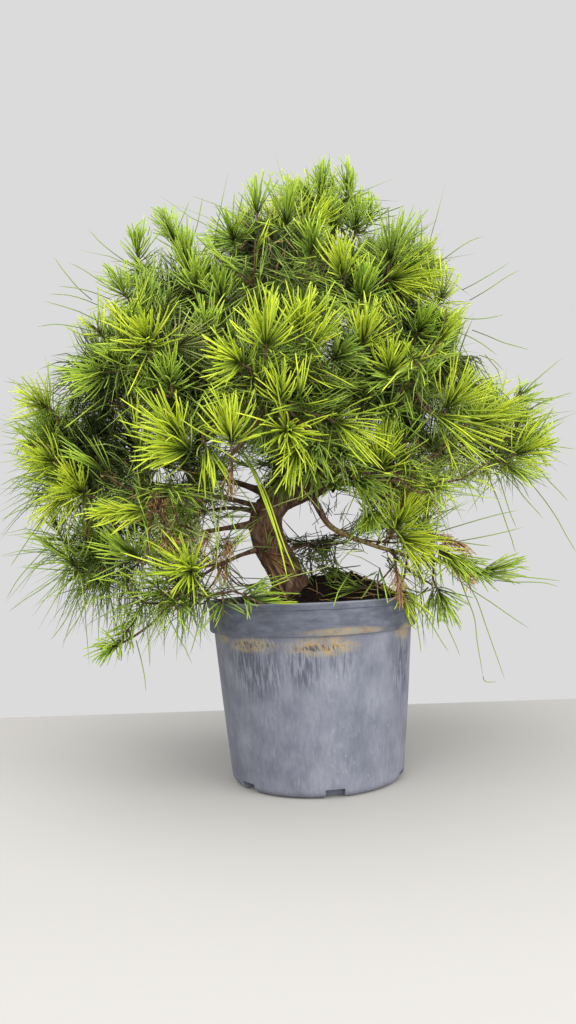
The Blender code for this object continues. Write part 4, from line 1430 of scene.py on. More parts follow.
    def twig_piece(self, material: Material) -> None:
        """Joins the twigs into one piece.

        Args:
            material: Their finish.
        """
        mesh = MeshParts()
        centres = np.array([path for path, _, _, _ in self.twigs])
        share = np.linspace(0, 1, centres.shape[1])
        thick = np.array([[first] for _, first, _, _ in self.twigs])
        thin = np.array([[last] for _, _, last, _ in self.twigs])
        radii = thick + (thin - thick) * share
        mesh.add_tubes(centres, radii, 5, np.linspace(0, 1, len(centres)), pointed=False)
        keep(mesh.build("twigs", material), "bark", *[mass.name for mass in self.tree.masses])


@dataclass
class Crown:
    """Grows the crown: twigs and sprays on every mass, and the shoots that the photo shows plainly."""

    tree: Tree
    view: PhotoView
    twigs: int = 7
    stem_shoots: int = 7
    skin: float = 26
    thatch: int = 90
    outward_draw: float = 0.45
    upward_draw: float = 0.2
    least_full: float = 0.92
    spray_reach: float = 54
    core_length: float = 26
    least_reach: float = 42
    rise: float = 0.6
    # Painted light: shoots higher up, right of bright_side (in pixels) and in airy patches take lighter tones
    bright_side: float = 380
    top_light: float = 0.15
    side_light: float = 0.14
    airy_light: float = 0.28
    light_luck: float = 0.09
    levels: tuple[float, float, float] = (0.95, 0.76, 0.6)
    backing: int = 260
    backing_depths: tuple[float, ...] = (15, 45)
    middle: tuple = (-15, 0, 330)
    half: tuple = (262, 212, 255)

    def __post_init__(self) -> None:
        """Starts the foliage, and finds the points of the limbs that may carry a shoot."""
        self.foliage = Foliage(self.tree, self.view)
        shares = [0.4 + 0.06 * step for step in range(11)]
        points = [self.tree.limb_point(mass, share) for mass in self.tree.masses for share in shares]
        covered = inside(self.view.pixels(np.array(points)), BODY_OUTLINE)
        self.roots = [point for point, good in zip(points, covered) if good]

    def outness(self, place: Vector) -> float:
        """How far out in the crown a place is: 0 in its middle and about 1 at its skin."""
        return Vector([(p / MM - m) / h for p, m, h in zip(place, self.middle, self.half)]).length

    def tones(self, tip: Vector, rng: Generator) -> tuple[Tone, Tone]:
        """The tones of a shoot: its fresh end's and its older foot's.

        Args:
            tip: Where the shoot ends.
            rng: The seeded source of chance.

        Returns:
            The tone of the end and the tone of the foot.
        """
        pixel = self.view.pixels(np.array([tip]))
        # Outer shoots are fresher; the lift for height, for the right side and for airy patches is painted light
        light = self.outness(tip) + self.top_light * (tip.z / MM - self.middle[2]) / self.half[2]
        light += self.side_light if pixel[0, 0] > self.bright_side else 0
        if most_open(AIRY_PATCHES, pixel)[0] > 0:
            light += self.airy_light
        light += rng.normal(0, self.light_luck)
        pairs = (Tone.LIME, Tone.GREEN), (Tone.FRESH, Tone.GREEN), (Tone.GREEN, Tone.DEEP)
        for level, pair in zip(self.levels, pairs):
            if light > level:
                return pair
        return Tone.DEEP, Tone.DEEP

    def grow_shoot(
        self, start: Vector, foot: Vector, way: Vector, size: float, owner: int, rng: Generator
    ) -> None:
        """Grows one shoot: a twig, old needles on its last stretch, and a tuft at its end.

        Args:
            start: Where it leaves its limb.
            foot: Where its fresh end starts.
            way: The way the fresh end points.
            size: 1 for a strong shoot, less for a weak one.
            owner: The number of its mass.
            rng: The seeded source of chance.
        """
        reach = rng.uniform(0, self.skin)
        for _ in range(9):
            tip = foot + way * self.core_length * size * MM
            end = np.array([foot + way * (self.core_length * size + reach) * MM])
            if inside(self.view.pixels(end), BODY_OUTLINE)[0]:
                break
            foot = start.lerp(foot, 0.84)
            size *= 0.93
        else:
            return
        fresh, old = self.tones(tip, rng)
        mass = self.tree.masses[owner]
        outer = fresh in (Tone.LIME, Tone.FRESH)
        self.foliage.grow_twig(start, foot, tip, 0.5 + 0.55 * size, 0.5, owner)
        if outer:
            length = (46 * size, 30 * size)
            form = {"girth": 0.52, "curl": 5, "crowding": 0.75, "sway": 4.5, "cut": Cut.BOLD}
            tuft = Spray(fresh, int(60 * size), length, (76, 8), **form)
        else:
            length = (42 * size, 28)
            tuft = Spray(fresh, int(52 * size), length, (80, 14), girth=0.48, droop=3, crowding=0.7, sway=5)
        self.foliage.grow_spray(foot, tip, tuft, owner, rng)
        behind = start.lerp(foot, 0.35)
        weep = mass.weep
        old_age = {"curl": 1, "crowding": 1, "sway": 6, "ragged": 0.05 + 0.2 * weep}
        length = (36 + 18 * weep, 42 + 22 * weep)
        older = Spray(old, int(46 * size), length, (54, 76), girth=0.46, droop=5 + 12 * weep, **old_age)
        self.foliage.grow_spray(behind, foot, older, owner, rng)
        count = int(rng.integers(0, mass.dead + 1))
        if count:
            form = {"girth": 0.42, "droop": 6, "curl": 0, "crowding": 1, "sway": 6}
            self.foliage.grow_spray(start, behind, Spray(Tone.DEAD, count, (26, 38), (80, 60), **form), owner, rng)
        if outer:
            count = int(rng.integers(2, 7) + 5 * weep)
            form = {"girth": 0.4, "droop": 8 + 10 * weep, "curl": 0, "crowding": 1, "sway": 8, "ragged": 0.16}
            self.foliage.grow_spray(foot, tip, Spray(Tone.GREEN, count, (58, 80), (60, 26), **form), owner, rng)

    def side_way(self, main: Vector, index: int, spread: float, turn: float) -> Vector:
        """A direction that leans away from another.

        Args:
            main: The direction that it leans away from.
            index: The number of the side shoot, which turns it by the golden angle.
            spread: The angle between the two, in degrees.
            turn: Where the turning starts.

        Returns:
            The direction, of length one.
        """
        across = main.orthogonal().normalized()
        across.rotate(Matrix.Rotation(turn + index * GOLDEN_TURN, 3, main))
        lean = math.radians(spread)
        return (main * math.cos(lean) + across * math.sin(lean)).normalized()

    def grow_mass(self, owner: int, mass: Mass) -> None:
        """Grows the twigs of a mass, and on them the finer shoots that the solids leave out.

        Args:
            owner: The number of the mass.
            mass: The mass.
        """
        chance = random.Random(f"{SEED} {mass.name} {mass.draw}")
        rng = np.random.default_rng([SEED, owner])
        tree = self.tree
        heart = Vector(mass.heart) * MM
        turn = chance.uniform(0, math.tau)
        fullness = [chance.uniform(self.least_full, 1) for _ in range(self.twigs)]
        outward = (heart - tree.trunk_at(mass.fork * MM)).normalized()
        for index, full in enumerate(fullness):
            height = 1 - 2 * (index + 0.5) / self.twigs
            flat = math.sqrt(1 - height**2)
            angle = turn + index * GOLDEN_TURN
            even = Vector((flat * math.cos(angle), flat * math.sin(angle), height))
            way = (even + outward * self.outward_draw + UP * self.upward_draw).normalized()
            reach = tree.reach(mass, way) * full
            if reach < self.least_reach * MM:
                continue
            start = tree.limb_point(mass, 0.55 + 0.4 * max(way.dot(outward), 0))
            foot = heart + way * (reach - self.spray_reach * MM)
            end_way = (way + UP * self.rise).normalized()
            self.grow_shoot(start, foot, end_way, 1.0, owner, rng)
            for side in range(mass.shoots):
                share = 0.3 + 0.68 * (side + 0.5) / mass.shoots
                root = start.lerp(foot + end_way * self.core_length * MM * 0.5, share)
                aside = self.side_way(way, side, rng.uniform(38, 68), turn)
                aside = (aside + UP * 0.3).normalized()
                self.grow_aside(mass, root, aside, rng.uniform(0.62, 0.95), owner, rng)
        form = {"girth": 0.6, "droop": 4, "curl": 0, "crowding": 1, "sway": 9}
        thatch = Spray(Tone.DEEP, self.thatch * mass.shoots, (44, 50), (92, 56), **form)
        self.foliage.grow_spray(tree.limb_point(mass, 0.55), heart, thatch, owner, rng)
        for index in range(self.stem_shoots):
            root = tree.limb_point(mass, 0.45 + 0.5 * index / self.stem_shoots)
            aside = self.side_way(outward, index, rng.uniform(45, 80), turn)
            self.grow_aside(mass, root, (aside + UP * 0.2).normalized(), 0.8, owner, rng)

    def grow_aside(
        self, mass: Mass, root: Vector, way: Vector, size: float, owner: int, rng: Generator
    ) -> None:
        """Grows a side shoot as long as the space of its mass lets it.

        Args:
            mass: The mass.
            root: Where the shoot leaves its twig.
            way: The way it grows.
            size: 1 for a strong shoot, less for a weak one.
            owner: The number of the mass.
            rng: The seeded source of chance.
        """
        heart = Vector(mass.heart) * MM
        for run in (1.0, 0.75, 0.5):
            foot = root + way * 44 * MM * size * run
            tip = foot + way * self.core_length * MM * size
            off = tip - heart
            if off.length + 12 * MM < self.tree.reach(mass, off.normalized()) * 1.04 + 4 * MM:
                self.grow_shoot(root, foot, (way + UP * self.rise).normalized(), size, owner, rng)
                return

    def grow_rosette(self, number: int, rosette: Rosette) -> None:
        """Grows a shoot that the photo shows plainly, from the limb nearest to it.

        Args:
            number: The number of the rosette.
            rosette: The rosette.
        """
        rng = np.random.default_rng([SEED, 1000 + number])
        view = self.view
        foot = view.place_at(rosette.across, rosette.down, rosette.depth * MM)
        way = view.direction(*rosette.way)
        pixel = (rosette.depth * MM - view.place[1]) / view.focal_px
        tip = foot + way * rosette.run_px * pixel
        owner = int(np.argmin(np.linalg.norm(self.tree.hearts - np.array(foot), axis=1)))
        root = min(self.roots, key=lambda point: (point - foot).length)
        self.foliage.grow_twig(root, foot - way * 6 * MM, tip, 1.2, 0.8, owner, shown=True)
        longest = rosette.needle_px * pixel / MM
        tuft = Spray(
            rosette.tone,
            int(rosette.count * 1.15),
            (longest * 1.15, longest * 0.9),
            (rosette.open_splay, rosette.end_splay),
            girth=0.4 if rosette.tone is Tone.DEAD else 0.6,
            curl=6,
            crowding=0.75,
            sway=4.2,
            ragged=0.02,
            cut=Cut.SHOWN,
        )
        self.foliage.grow_spray(foot, tip, tuft, owner, rng)
        older = Spray(Tone.GREEN, 30, (34, 36), (60, 78), girth=0.5, droop=5, curl=1, crowding=1, sway=4)
        self.foliage.grow_spray(root.lerp(foot, 0.45), foot, older, owner, rng)

    def back_gap(self, number: int, gap: Patch) -> None:
        """Fills the space behind a dark gap of the crown with short needles of the shaded tone, painted shade.

        Args:
            number: The number of the gap.
            gap: The gap.
        """
        rng = np.random.default_rng([SEED, 2000 + number])
        for depth in self.backing_depths:
            downs = [gap.down + side * gap.half_down * 0.8 for side in (-1, 1)]
            ends = [self.view.place_at(gap.across, down, depth * MM) for down in downs]
            long = gap.half_across * (depth * MM - self.view.place[1]) / self.view.focal_px / MM
            form = {"girth": 0.6, "curl": 0, "crowding": 1, "sway": 9}
            backing = Spray(Tone.SHADED, self.backing, (long, long), (95, 70), **form)
            owner = int(np.argmin(np.linalg.norm(self.tree.hearts - np.array((ends[0] + ends[1]) / 2), axis=1)))
            self.foliage.grow_spray(*ends, backing, owner, rng)

    def build(self, finishes: dict[Tone, Material], bark: Material) -> None:
        """Grows everything and makes the pieces.

        Args:
            finishes: The material of each tone.
            bark: The twigs' finish.
        """
        for owner, mass in enumerate(self.tree.masses):
            self.grow_mass(owner, mass)
        for number, rosette in enumerate(ROSETTES):
            self.grow_rosette(number, rosette)
        for number, gap in enumerate(DARK_GAPS):
            self.back_gap(number, gap)
        self.foliage.needle_pieces(finishes)
        self.foliage.strand_pieces(finishes)
        self.foliage.twig_piece(bark)


# Wood

@dataclass
class Wood:
    """The trunk with its root flare and the collars of its boughs in one skin, and the boughs beyond."""

    tree: Tree
    voxel: float = 1.25
    collar: float = 0.4
    flare_roots: int = 6
    relief: float = 0.9
    bough_rings: int = 26
    bough_sides: int = 10
    limb_sides: int = 24
    slim: float = 0.6
    window_slim: float = 0.85
    slim_run: float = 32
    swell: float = 0.45
    swell_run: float = 16
    root_top: float = 186
    crack_mm: float = 4.2
    crack_squeeze: float = 0.72
    knots: float = 0.13
    knot_size: float = 5
    wander: float = 1.2
    wander_size: float = 24

    def slimmed(self, mass: Mass, share: float) -> float:
        """Works out a bough's radius, drawn slimmer than its solid once it is clear of the trunk.

        Args:
            mass: The mass that the bough carries.
            share: How far along the bough, from 0 to 1.

        Returns:
            The radius there, in metres.
        """
        root = self.tree.limb_point(mass, 0)
        away = (self.tree.limb_point(mass, share) - root).length / MM
        clear = min(1, away / self.slim_run)
        slim = self.window_slim if mass.name == self.tree.window_bough else self.slim
        return self.tree.limb_radius(mass, share) * (1 + (slim - 1) * clear)

    def last_share(self, mass: Mass) -> float:
        """Finds how far a bough may be drawn and stay inside the foliage that the photo shows.

        Args:
            mass: The mass that the bough carries.

        Returns:
            How far along the bough, from 0 to 1.
        """
        view = PhotoView()
        share = 1.0
        while share > self.collar + 0.2:
            place = np.array([self.tree.limb_point(mass, share)])
            if inside(view.pixels(place), BODY_OUTLINE)[0]:
                break
            share -= 0.05
        return share if share == 1.0 else share - 0.15

    def add_limb(self, points: list[Vector], radii: list[float]) -> Object:
        """Adds a round tapering limb.

        Args:
            points: Its line.
            radii: Its radius at each point.

        Returns:
            The limb, as a closed mesh.
        """
        mesh = MeshParts()
        centres = np.array(points)[None]
        mesh.add_tubes(centres, np.array(radii)[None], self.limb_sides, np.zeros(1), pointed=False)
        return mesh.build("limb")

    def limbs(self) -> list[Object]:
        """Makes the trunk, its surface roots and the collars as loose limbs.

        Returns:
            The limbs.
        """
        tree = self.tree
        line = [point.to_3d() for point in tree.line]
        made = [self.add_limb([line[0] - UP * 6 * MM, *line], [tree.line[0].w, *[p.w for p in tree.line]])]
        rng = random.Random(SEED)
        for index in range(self.flare_roots):
            turn = index * math.tau / self.flare_roots + rng.uniform(-0.3, 0.3)
            out = Vector((math.cos(turn), math.sin(turn), 0))
            top = tree.trunk_at(self.root_top * MM) + out * 9 * MM
            foot = line[0] + out * rng.uniform(19, 23) * MM - UP * 5 * MM
            elbow = line[0] + out * 14.5 * MM + UP * 6 * MM
            path = smooth_path([top, elbow, foot], 5)
            made.append(self.add_limb(path, [(4.5 + 1.5 * i / len(path)) * MM for i in range(len(path))]))
        for mass in tree.masses:
            shares = [self.collar * step / 10 for step in range(11)]
            path = [tree.limb_point(mass, share) for share in shares]
            run = self.swell_run * MM
            swell = [
                1 + self.swell * math.exp(-share * (path[-1] - path[0]).length / self.collar / run) for share in shares
            ]
            radii = [self.slimmed(mass, share) * more for share, more in zip(shares, swell)]
            made.append(self.add_limb(path, radii))
        return made

    def trunk(self, material: Material) -> None:
        """Fuses the limbs to one skin and gives it the bark's relief.

        Args:
            material: The bark's finish.
        """
        made = self.limbs()
        trunk = made[0]
        select_only(*made)
        bpy.ops.object.join()
        trunk.name = "trunk_bark"
        trunk.data.remesh_voxel_size = self.voxel * MM
        bpy.ops.object.voxel_remesh()
        smooth = trunk.modifiers.new("smooth", "SMOOTH")
        smooth.iterations = 4
        bpy.ops.object.modifier_apply(modifier=smooth.name)
        self.roughen(trunk)
        trunk.data.materials.clear()
        trunk.data.materials.append(material)
        trunk.data.shade_smooth()
        keep(trunk, "bark", "trunk")

    def roughen(self, trunk: Object) -> None:
        """Moves the skin in and out as cracks and plates of bark that run along the limb.

        Args:
            trunk: The fused limbs.
        """
        mesh = trunk.data
        stretches = [(a.to_3d(), b.to_3d(), a.w) for a, b in zip(self.tree.line, self.tree.line[1:])]
        for mass in self.tree.masses:
            points = [self.tree.limb_point(mass, share / 10 * self.collar) for share in range(11)]
            stretches += [(a, b, self.tree.limb_radius(mass, 0.2)) for a, b in zip(points, points[1:])]
        middles = np.array([(a + b) / 2 for a, b, _ in stretches])
        ways = np.array([(b - a).normalized() for a, b, _ in stretches])
        girths = np.array([girth for _, _, girth in stretches])
        count = len(mesh.vertices)
        places = np.empty(count * 3)
        mesh.vertices.foreach_get("co", places)
        places = places.reshape(-1, 3)
        normals = np.empty(count * 3, np.float32)
        mesh.vertex_normals.foreach_get("vector", normals)
        normals = normals.reshape(-1, 3)
        nearest = np.empty(count, int)
        for start in range(0, count, 4000):
            part = places[start : start + 4000]
            away = np.linalg.norm(part[:, None] - middles[None], axis=2) - girths
            nearest[start : start + 4000] = away.argmin(axis=1)
        way = ways[nearest]
        thick = np.clip(girths[nearest] / (15 * MM), 0.18, 1)
        squeezed = places - way * (places * way).sum(axis=1, keepdims=True) * self.crack_squeeze
        shift = np.empty(count)
        for index, (x, y, z) in enumerate(squeezed / (self.crack_mm * MM)):
            crack = abs(noise.noise((x, y, z))) * 1.7
            fine = noise.noise((x * 2.7 + 7, y * 2.7, z * 2.7)) * 0.35
            shift[index] = min(crack, 0.75) + fine - 0.5
        places += normals * (shift * thick * self.relief * MM)[:, None]
        mesh.vertices.foreach_set("co", places.ravel())
        mesh.update()

    def boughs(self, material: Material, olive: Material) -> None:
        """Makes the boughs beyond their collars, as far as the hearts of their masses.

        Args:
            material: The bark's finish.
            olive: The finish of the sunlit bough in the photo's window.
        """
        paths, radii = {False: [], True: []}, {False: [], True: []}
        for mass in self.tree.masses:
            seen = mass.name == self.tree.window_bough
            shares = np.linspace(self.collar * 0.82, self.last_share(mass), self.bough_rings)
            line = [self.tree.limb_point(mass, share) for share in shares]
            radii[seen].append([])
            for index, (share, point) in enumerate(zip(shares, line)):
                knot = 1 + self.knots * noise.noise(point / (self.knot_size * MM))
                radii[seen][-1].append(self.slimmed(mass, share) * knot)
                eased = min(1, 3 * index / len(line))
                wander = noise.noise_vector(point / (self.wander_size * MM))
                line[index] = point + wander * self.wander * MM * eased
            paths[seen].append(line)
        lit = f"bough_{self.tree.window_bough}"
        names = [name for name in frame["nodes"] if name.startswith("bough_") and name != lit]
        for seen, piece, finish, stands_for in (
            (False, "bough_bark", material, names),
            (True, "window_bough_bark", olive, [lit]),
        ):
            mesh = MeshParts()
            tint = np.linspace(0, 1, len(paths[seen]))
            mesh.add_tubes(np.array(paths[seen]), np.array(radii[seen]), self.bough_sides, tint, pointed=False)
            keep(mesh.build(piece, finish), "bark", *stands_for)


# Pot and soil

@dataclass
class Pot:
    """The nursery pot: a thin moulded shell with a lip, a bead, a rounded foot and six drain pockets."""

    rim_radius: float = 95
    height: float = 158.6
    lip_bottom: float = 131.5
    wall_top: float = 90
    wall_foot: float = 77.5
    wall: float = 1.8
    lip_wall: float = 2.9
    bead: float = 1.0
    bead_drop: float = 5.5
    foot_round: float = 7
    sides: int = 144
    pockets: int = 6
    pocket_turn: float = -80
    pocket_width: float = 16
    pocket_height: float = 7.5
    pocket_inner: float = 66
    pocket_wall: float = 1.6
    merge_gap: float = 0.001
    wave_size: float = 38
    wave_share: float = 0.006

    def wall_radius(self, height: float) -> float:
        """The wall's outer radius at this height, below the lip."""
        return self.wall_foot + (self.wall_top - self.wall_foot) * height / self.lip_bottom

    def foot_arc(self, radius: float, inset: float, steps: int = 6) -> list[tuple[float, float]]:
        """Draws the rounded foot, from the floor up to the wall.

        Args:
            radius: The arc's radius.
            inset: How far the arc lies inside the pot's outer skin.
            steps: Steps to the arc.

        Returns:
            Radii and heights, in millimetres.
        """
        centre = self.wall_radius(0) - self.foot_round
        turns = [step / steps * math.pi / 2 for step in range(steps + 1)]
        return [(centre + radius * math.sin(turn), inset + radius - radius * math.cos(turn)) for turn in turns]

    def outside(self) -> list[tuple[float, float]]:
        """Draws the outer profile, with the small roundings of the mould, from the floor up to the rim.

        Returns:
            Radii and heights, in millimetres.
        """
        lip = self.rim_radius - 1.2
        bead = self.height - self.bead_drop
        mid = (self.lip_bottom + self.foot_round) / 2
        return [
            *self.foot_arc(self.foot_round, 0),
            (self.wall_radius(mid), mid),
            (self.wall_top - 0.15, self.lip_bottom - 0.6),
            (self.wall_top + 0.4, self.lip_bottom),
            (lip - 1.4, self.lip_bottom),
            (lip - 0.35, self.lip_bottom + 0.35),
            (lip, self.lip_bottom + 1.4),
            (self.rim_radius - self.bead, bead - 0.9),
            (self.rim_radius - 0.15, bead - 0.2),
            (self.rim_radius, bead + 0.6),
            (self.rim_radius, self.height - 1.0),
            (self.rim_radius - 0.35, self.height - 0.25),
            (self.rim_radius - 1.1, self.height),
        ]

    def inside(self) -> list[tuple[float, float]]:
        """Draws the inner profile, from the rim down to the floor.

        Returns:
            Radii and heights, in millimetres.
        """
        return [
            (self.rim_radius - 1.9, self.height - 0.1),
            (self.rim_radius - self.lip_wall + 0.2, self.height - 0.8),
            (self.rim_radius - self.lip_wall, self.lip_bottom + 2 * self.wall),
            (self.wall_top - self.wall, self.lip_bottom + self.wall),
            *reversed(self.foot_arc(self.foot_round - self.wall, self.wall)),
        ]

    def turned(self, name: str, profile: list[tuple[float, float]]) -> Object:
        """Raises a disc through a profile by extruding it step by step.

        Args:
            name: The object's name.
            profile: Radii and heights, in millimetres.

        Returns:
            The closed turned solid.
        """
        radius, height = profile[0]
        bpy.ops.object.select_all(action="DESELECT")
        bpy.ops.mesh.primitive_circle_add(
            vertices=self.sides, radius=radius * MM, fill_type="NGON", location=(0, 0, height * MM)
        )
        obj = bpy.context.object
        obj.name = name
        bpy.ops.object.mode_set(mode="EDIT")
        bpy.ops.mesh.select_all(action="SELECT")
        for next_radius, next_height in profile[1:]:
            rise = (next_height - height) * MM
            bpy.ops.mesh.extrude_region_move(TRANSFORM_OT_translate={"value": (0, 0, rise)})
            grow = next_radius / radius
            bpy.ops.transform.resize(value=(grow, grow, 1), center_override=(0, 0, 0))
            radius, height = next_radius, next_height
        bpy.ops.mesh.select_all(action="SELECT")
        bpy.ops.mesh.normals_make_consistent(inside=False)
        bpy.ops.object.mode_set(mode="OBJECT")
        select_only(obj)
        bpy.ops.object.transform_apply(location=True, rotation=True, scale=True)
        return obj

    def box(self, index: int, half_width: float, low: float, high: float, inner: float) -> Object:
        """A box of a drain pocket, turned to its place.

        Args:
            index: The pocket's number.
            half_width: Half its width.
            low: The height of its underside.
            high: The height of its top.
            inner: How far its inner end is from the axis.

        Returns:
            The box.
        """
        outer = self.wall_top + self.pocket_wall
        bpy.ops.object.select_all(action="DESELECT")
        bpy.ops.mesh.primitive_cube_add(size=1, location=(0, 0, 0))
        box = bpy.context.object
        turn = math.radians(self.pocket_turn) + index * math.tau / self.pockets
        scale = Matrix.Diagonal(((outer - inner) * MM, 2 * half_width * MM, (high - low) * MM, 1))
        shift = Matrix.Translation(((outer + inner) / 2 * MM, 0, (high + low) / 2 * MM))
        box.data.transform(Matrix.Rotation(turn, 4, "Z") @ shift @ scale)
        return box

    def cut(self, obj: Object, other: Object, operation: str) -> None:
        """Applies a Boolean.

        Args:
            obj: The object that changes.
            other: The other object.
            operation: UNION, DIFFERENCE or INTERSECT.
        """
        select_only(obj)
        modifier = obj.modifiers.new("cut", "BOOLEAN")
        modifier.operation = operation
        modifier.object = other
        modifier.solver = "EXACT"
        bpy.ops.object.modifier_apply(modifier=modifier.name)

    def build(self, material: Material) -> None:
        """Makes the pot.

        Args:
            material: Its finish.
        """
        pot = self.turned("pot_shell", [*self.outside(), *self.inside()])
        body = self.turned("pot_body", self.outside())
        half = self.pocket_width / 2
        for index in range(self.pockets):
            wall = self.pocket_wall
            shell = self.box(index, half + wall, 0, self.pocket_height + wall, self.pocket_inner - wall)
            space = self.box(index, half, -wall, self.pocket_height, self.pocket_inner)
            self.cut(shell, body, "INTERSECT")
            self.cut(pot, shell, "UNION")
            self.cut(pot, space, "DIFFERENCE")
            bpy.data.objects.remove(shell)
            bpy.data.objects.remove(space)
        bpy.data.objects.remove(body)
        self.merge(pot)
        self.warp(pot)
        select_only(pot)
        pot.data.materials.clear()
        pot.data.materials.append(material)
        bpy.ops.object.shade_smooth_by_angle(angle=math.radians(32))
        keep(pot, "pot_plastic", "pot")

    def merge(self, pot: Object) -> None:
        """Merges the points that the Booleans leave on top of one another, and drops faces of no size.

        Args:
            pot: The pot.
        """
        mesh = bmesh.new()
        mesh.from_mesh(pot.data)
        bmesh.ops.remove_doubles(mesh, verts=mesh.verts, dist=self.merge_gap * MM)
        bmesh.ops.dissolve_degenerate(mesh, edges=mesh.edges, dist=self.merge_gap * MM)
        mesh.to_mesh(pot.data)
        mesh.free()

    def warp(self, pot: Object) -> None:
        """Gives the thin wall the slight waves and the out-of-round lip of an old pot.

        Args:
            pot: The pot.
        """
        for vertex in pot.data.vertices:
            place = vertex.co
            up = min(max(place.z / (self.height * MM), 0), 1)
            wave = noise.noise(Vector((place.x, place.y, place.z * 0.5)) / (self.wave_size * MM))
            push = 1 + wave * self.wave_share * up
            place.x *= push
            place.y *= push


@dataclass
class Soil:
    """Potting soil heaped beside the trunk, with crumbs, fallen needles and a little moss on it."""

    tree: Tree
    edge_radius: float = 91.5
    depth: float = 9
    rings: int = 46
    sides: int = 150
    crumbs: int = 1500
    fallen: int = 70
    tufts: int = 5
    tuft_blades: int = 60
    rough_size: float = 11
    rough_height: float = 1.5
    lump_size: float = 26
    lump_height: float = 2.0
    level_edge: float = 6
    sunk: float = 0.6

    def ground(self, x: float, y: float) -> float:
        """Works out the height of the rough soil.

        Args:
            x: Where, in metres.
            y: Where, in metres.

        Returns:
            The height there, in metres.
        """
        place = Vector((x, y, 0))
        rough = noise.fractal(place / (self.rough_size * MM), 0.8, 2.1, 4) * self.rough_height * MM
        lumps = abs(noise.noise(place / (self.lump_size * MM))) * self.lump_height * MM
        edge = min(1, (self.edge_radius * MM - place.length) / (self.level_edge * MM))
        level = float(self.tree.soil_height(np.array(x), np.array(y)))
        return level + (rough + lumps) * max(edge, 0) - self.sunk * MM

    def surface(self, material: Material) -> None:
        """Makes the rough top of the soil, closed below.

        Args:
            material: Its finish.
        """
        bpy.ops.object.select_all(action="DESELECT")
        bpy.ops.mesh.primitive_circle_add(vertices=self.sides, radius=self.edge_radius * MM, fill_type="NGON")
        soil = bpy.context.object
        soil.name = "soil_top"
        bpy.ops.object.mode_set(mode="EDIT")
        bpy.ops.mesh.select_all(action="SELECT")
        for _ in range(self.rings - 1):
            bpy.ops.mesh.inset(thickness=self.edge_radius * MM / self.rings)
        bpy.ops.mesh.poke()
        bpy.ops.object.mode_set(mode="OBJECT")
        mesh = bmesh.new()
        mesh.from_mesh(soil.data)
        rim = [edge for edge in mesh.edges if edge.is_boundary]
        skirt = bmesh.ops.extrude_edge_only(mesh, edges=rim)["geom"]
        low = [item for item in skirt if isinstance(item, bmesh.types.BMVert)]
        bmesh.ops.contextual_create(mesh, geom=low)
        floor = (self.tree.soil_edge - self.depth) * MM
        for vertex in mesh.verts:
            vertex.co.z = self.ground(vertex.co.x, vertex.co.y)
        for vertex in low:
            vertex.co.z = floor
        bmesh.ops.recalc_face_normals(mesh, faces=mesh.faces)
        mesh.to_mesh(soil.data)
        mesh.free()
        soil.data.materials.clear()
        soil.data.materials.append(material)
        soil.data.shade_smooth()
        keep(soil, "soil", "soil")

    def spot(self, rng: random.Random, reach: float) -> tuple[float, float]:
        """Picks a place on the soil, even over its area.

        Args:
            rng: The seeded source of chance.
            reach: How far from the middle it may be, in millimetres.

        Returns:
            The place, in metres.
        """
        turn = rng.uniform(0, math.tau)
        away = math.sqrt(rng.random()) * reach * MM
        return away * math.cos(turn), away * math.sin(turn)

    def crumb_piece(self, material: Material) -> None:
        """Scatters crumbs of soil and bark over the surface, joined into one piece.

        Args:
            material: Their finish.
        """
        bpy.ops.object.select_all(action="DESELECT")
        bpy.ops.mesh.primitive_ico_sphere_add(subdivisions=1, radius=1)
        model = bpy.context.object
        shape = np.array([vertex.co for vertex in model.data.vertices])
        faces = np.array([face.vertices[:] for face in model.data.polygons])
        bpy.data.objects.remove(model)
        rng = random.Random(SEED + 1)
        mesh = MeshParts()
        for _ in range(self.crumbs):
            x, y = self.spot(rng, self.edge_radius - 3)
            size = rng.uniform(0.5, 1.7) * (1 + 1.1 * (rng.random() > 0.93)) * MM
            squash = np.array([rng.uniform(0.6, 1.4), rng.uniform(0.6, 1.4), rng.uniform(0.45, 0.9)])
            level = Matrix.Rotation(rng.uniform(0, math.tau), 3, "Z")
            turn = np.array(level @ Matrix.Rotation(rng.uniform(0, 1), 3, "X"))
            points = (shape * squash * size) @ turn.T + np.array([x, y, self.ground(x, y) + size * 0.3])
            mesh.add(points, [faces], np.zeros(len(points)), np.full(len(points), rng.random()))
        keep(mesh.build("soil_crumbs", material, smooth=False), "soil", "soil")

    def fallen_needles(self, material: Material) -> None:
        """Lays dead needles on the soil.

        Args:
            material: Their finish.
        """
        rng = random.Random(SEED + 2)
        lines = []
        for _ in range(self.fallen):
            x, y = self.spot(rng, self.edge_radius - 16)
            turn = rng.uniform(0, math.tau)
            half = rng.uniform(6, 17) * MM
            bow = rng.uniform(-3, 3) * MM
            line = []
            for share in (-1, -0.5, 0, 0.5, 1):
                px = x + math.cos(turn) * half * share - math.sin(turn) * bow * share**2
                py = y + math.sin(turn) * half * share + math.cos(turn) * bow * share**2
                line.append((px, py, self.ground(px, py) + rng.uniform(0.6, 1.6) * MM))
            lines.append(line)
        mesh = MeshParts()
        radii = np.tile(np.array([0.35, 0.45, 0.45, 0.4, 0.2]) * MM, (len(lines), 1))
        tint = np.array([rng.random() for _ in lines])
        mesh.add_tubes(np.array(lines), radii, 4, tint, pointed=False)
        keep(mesh.build("fallen_needles", material), "soil", "soil")

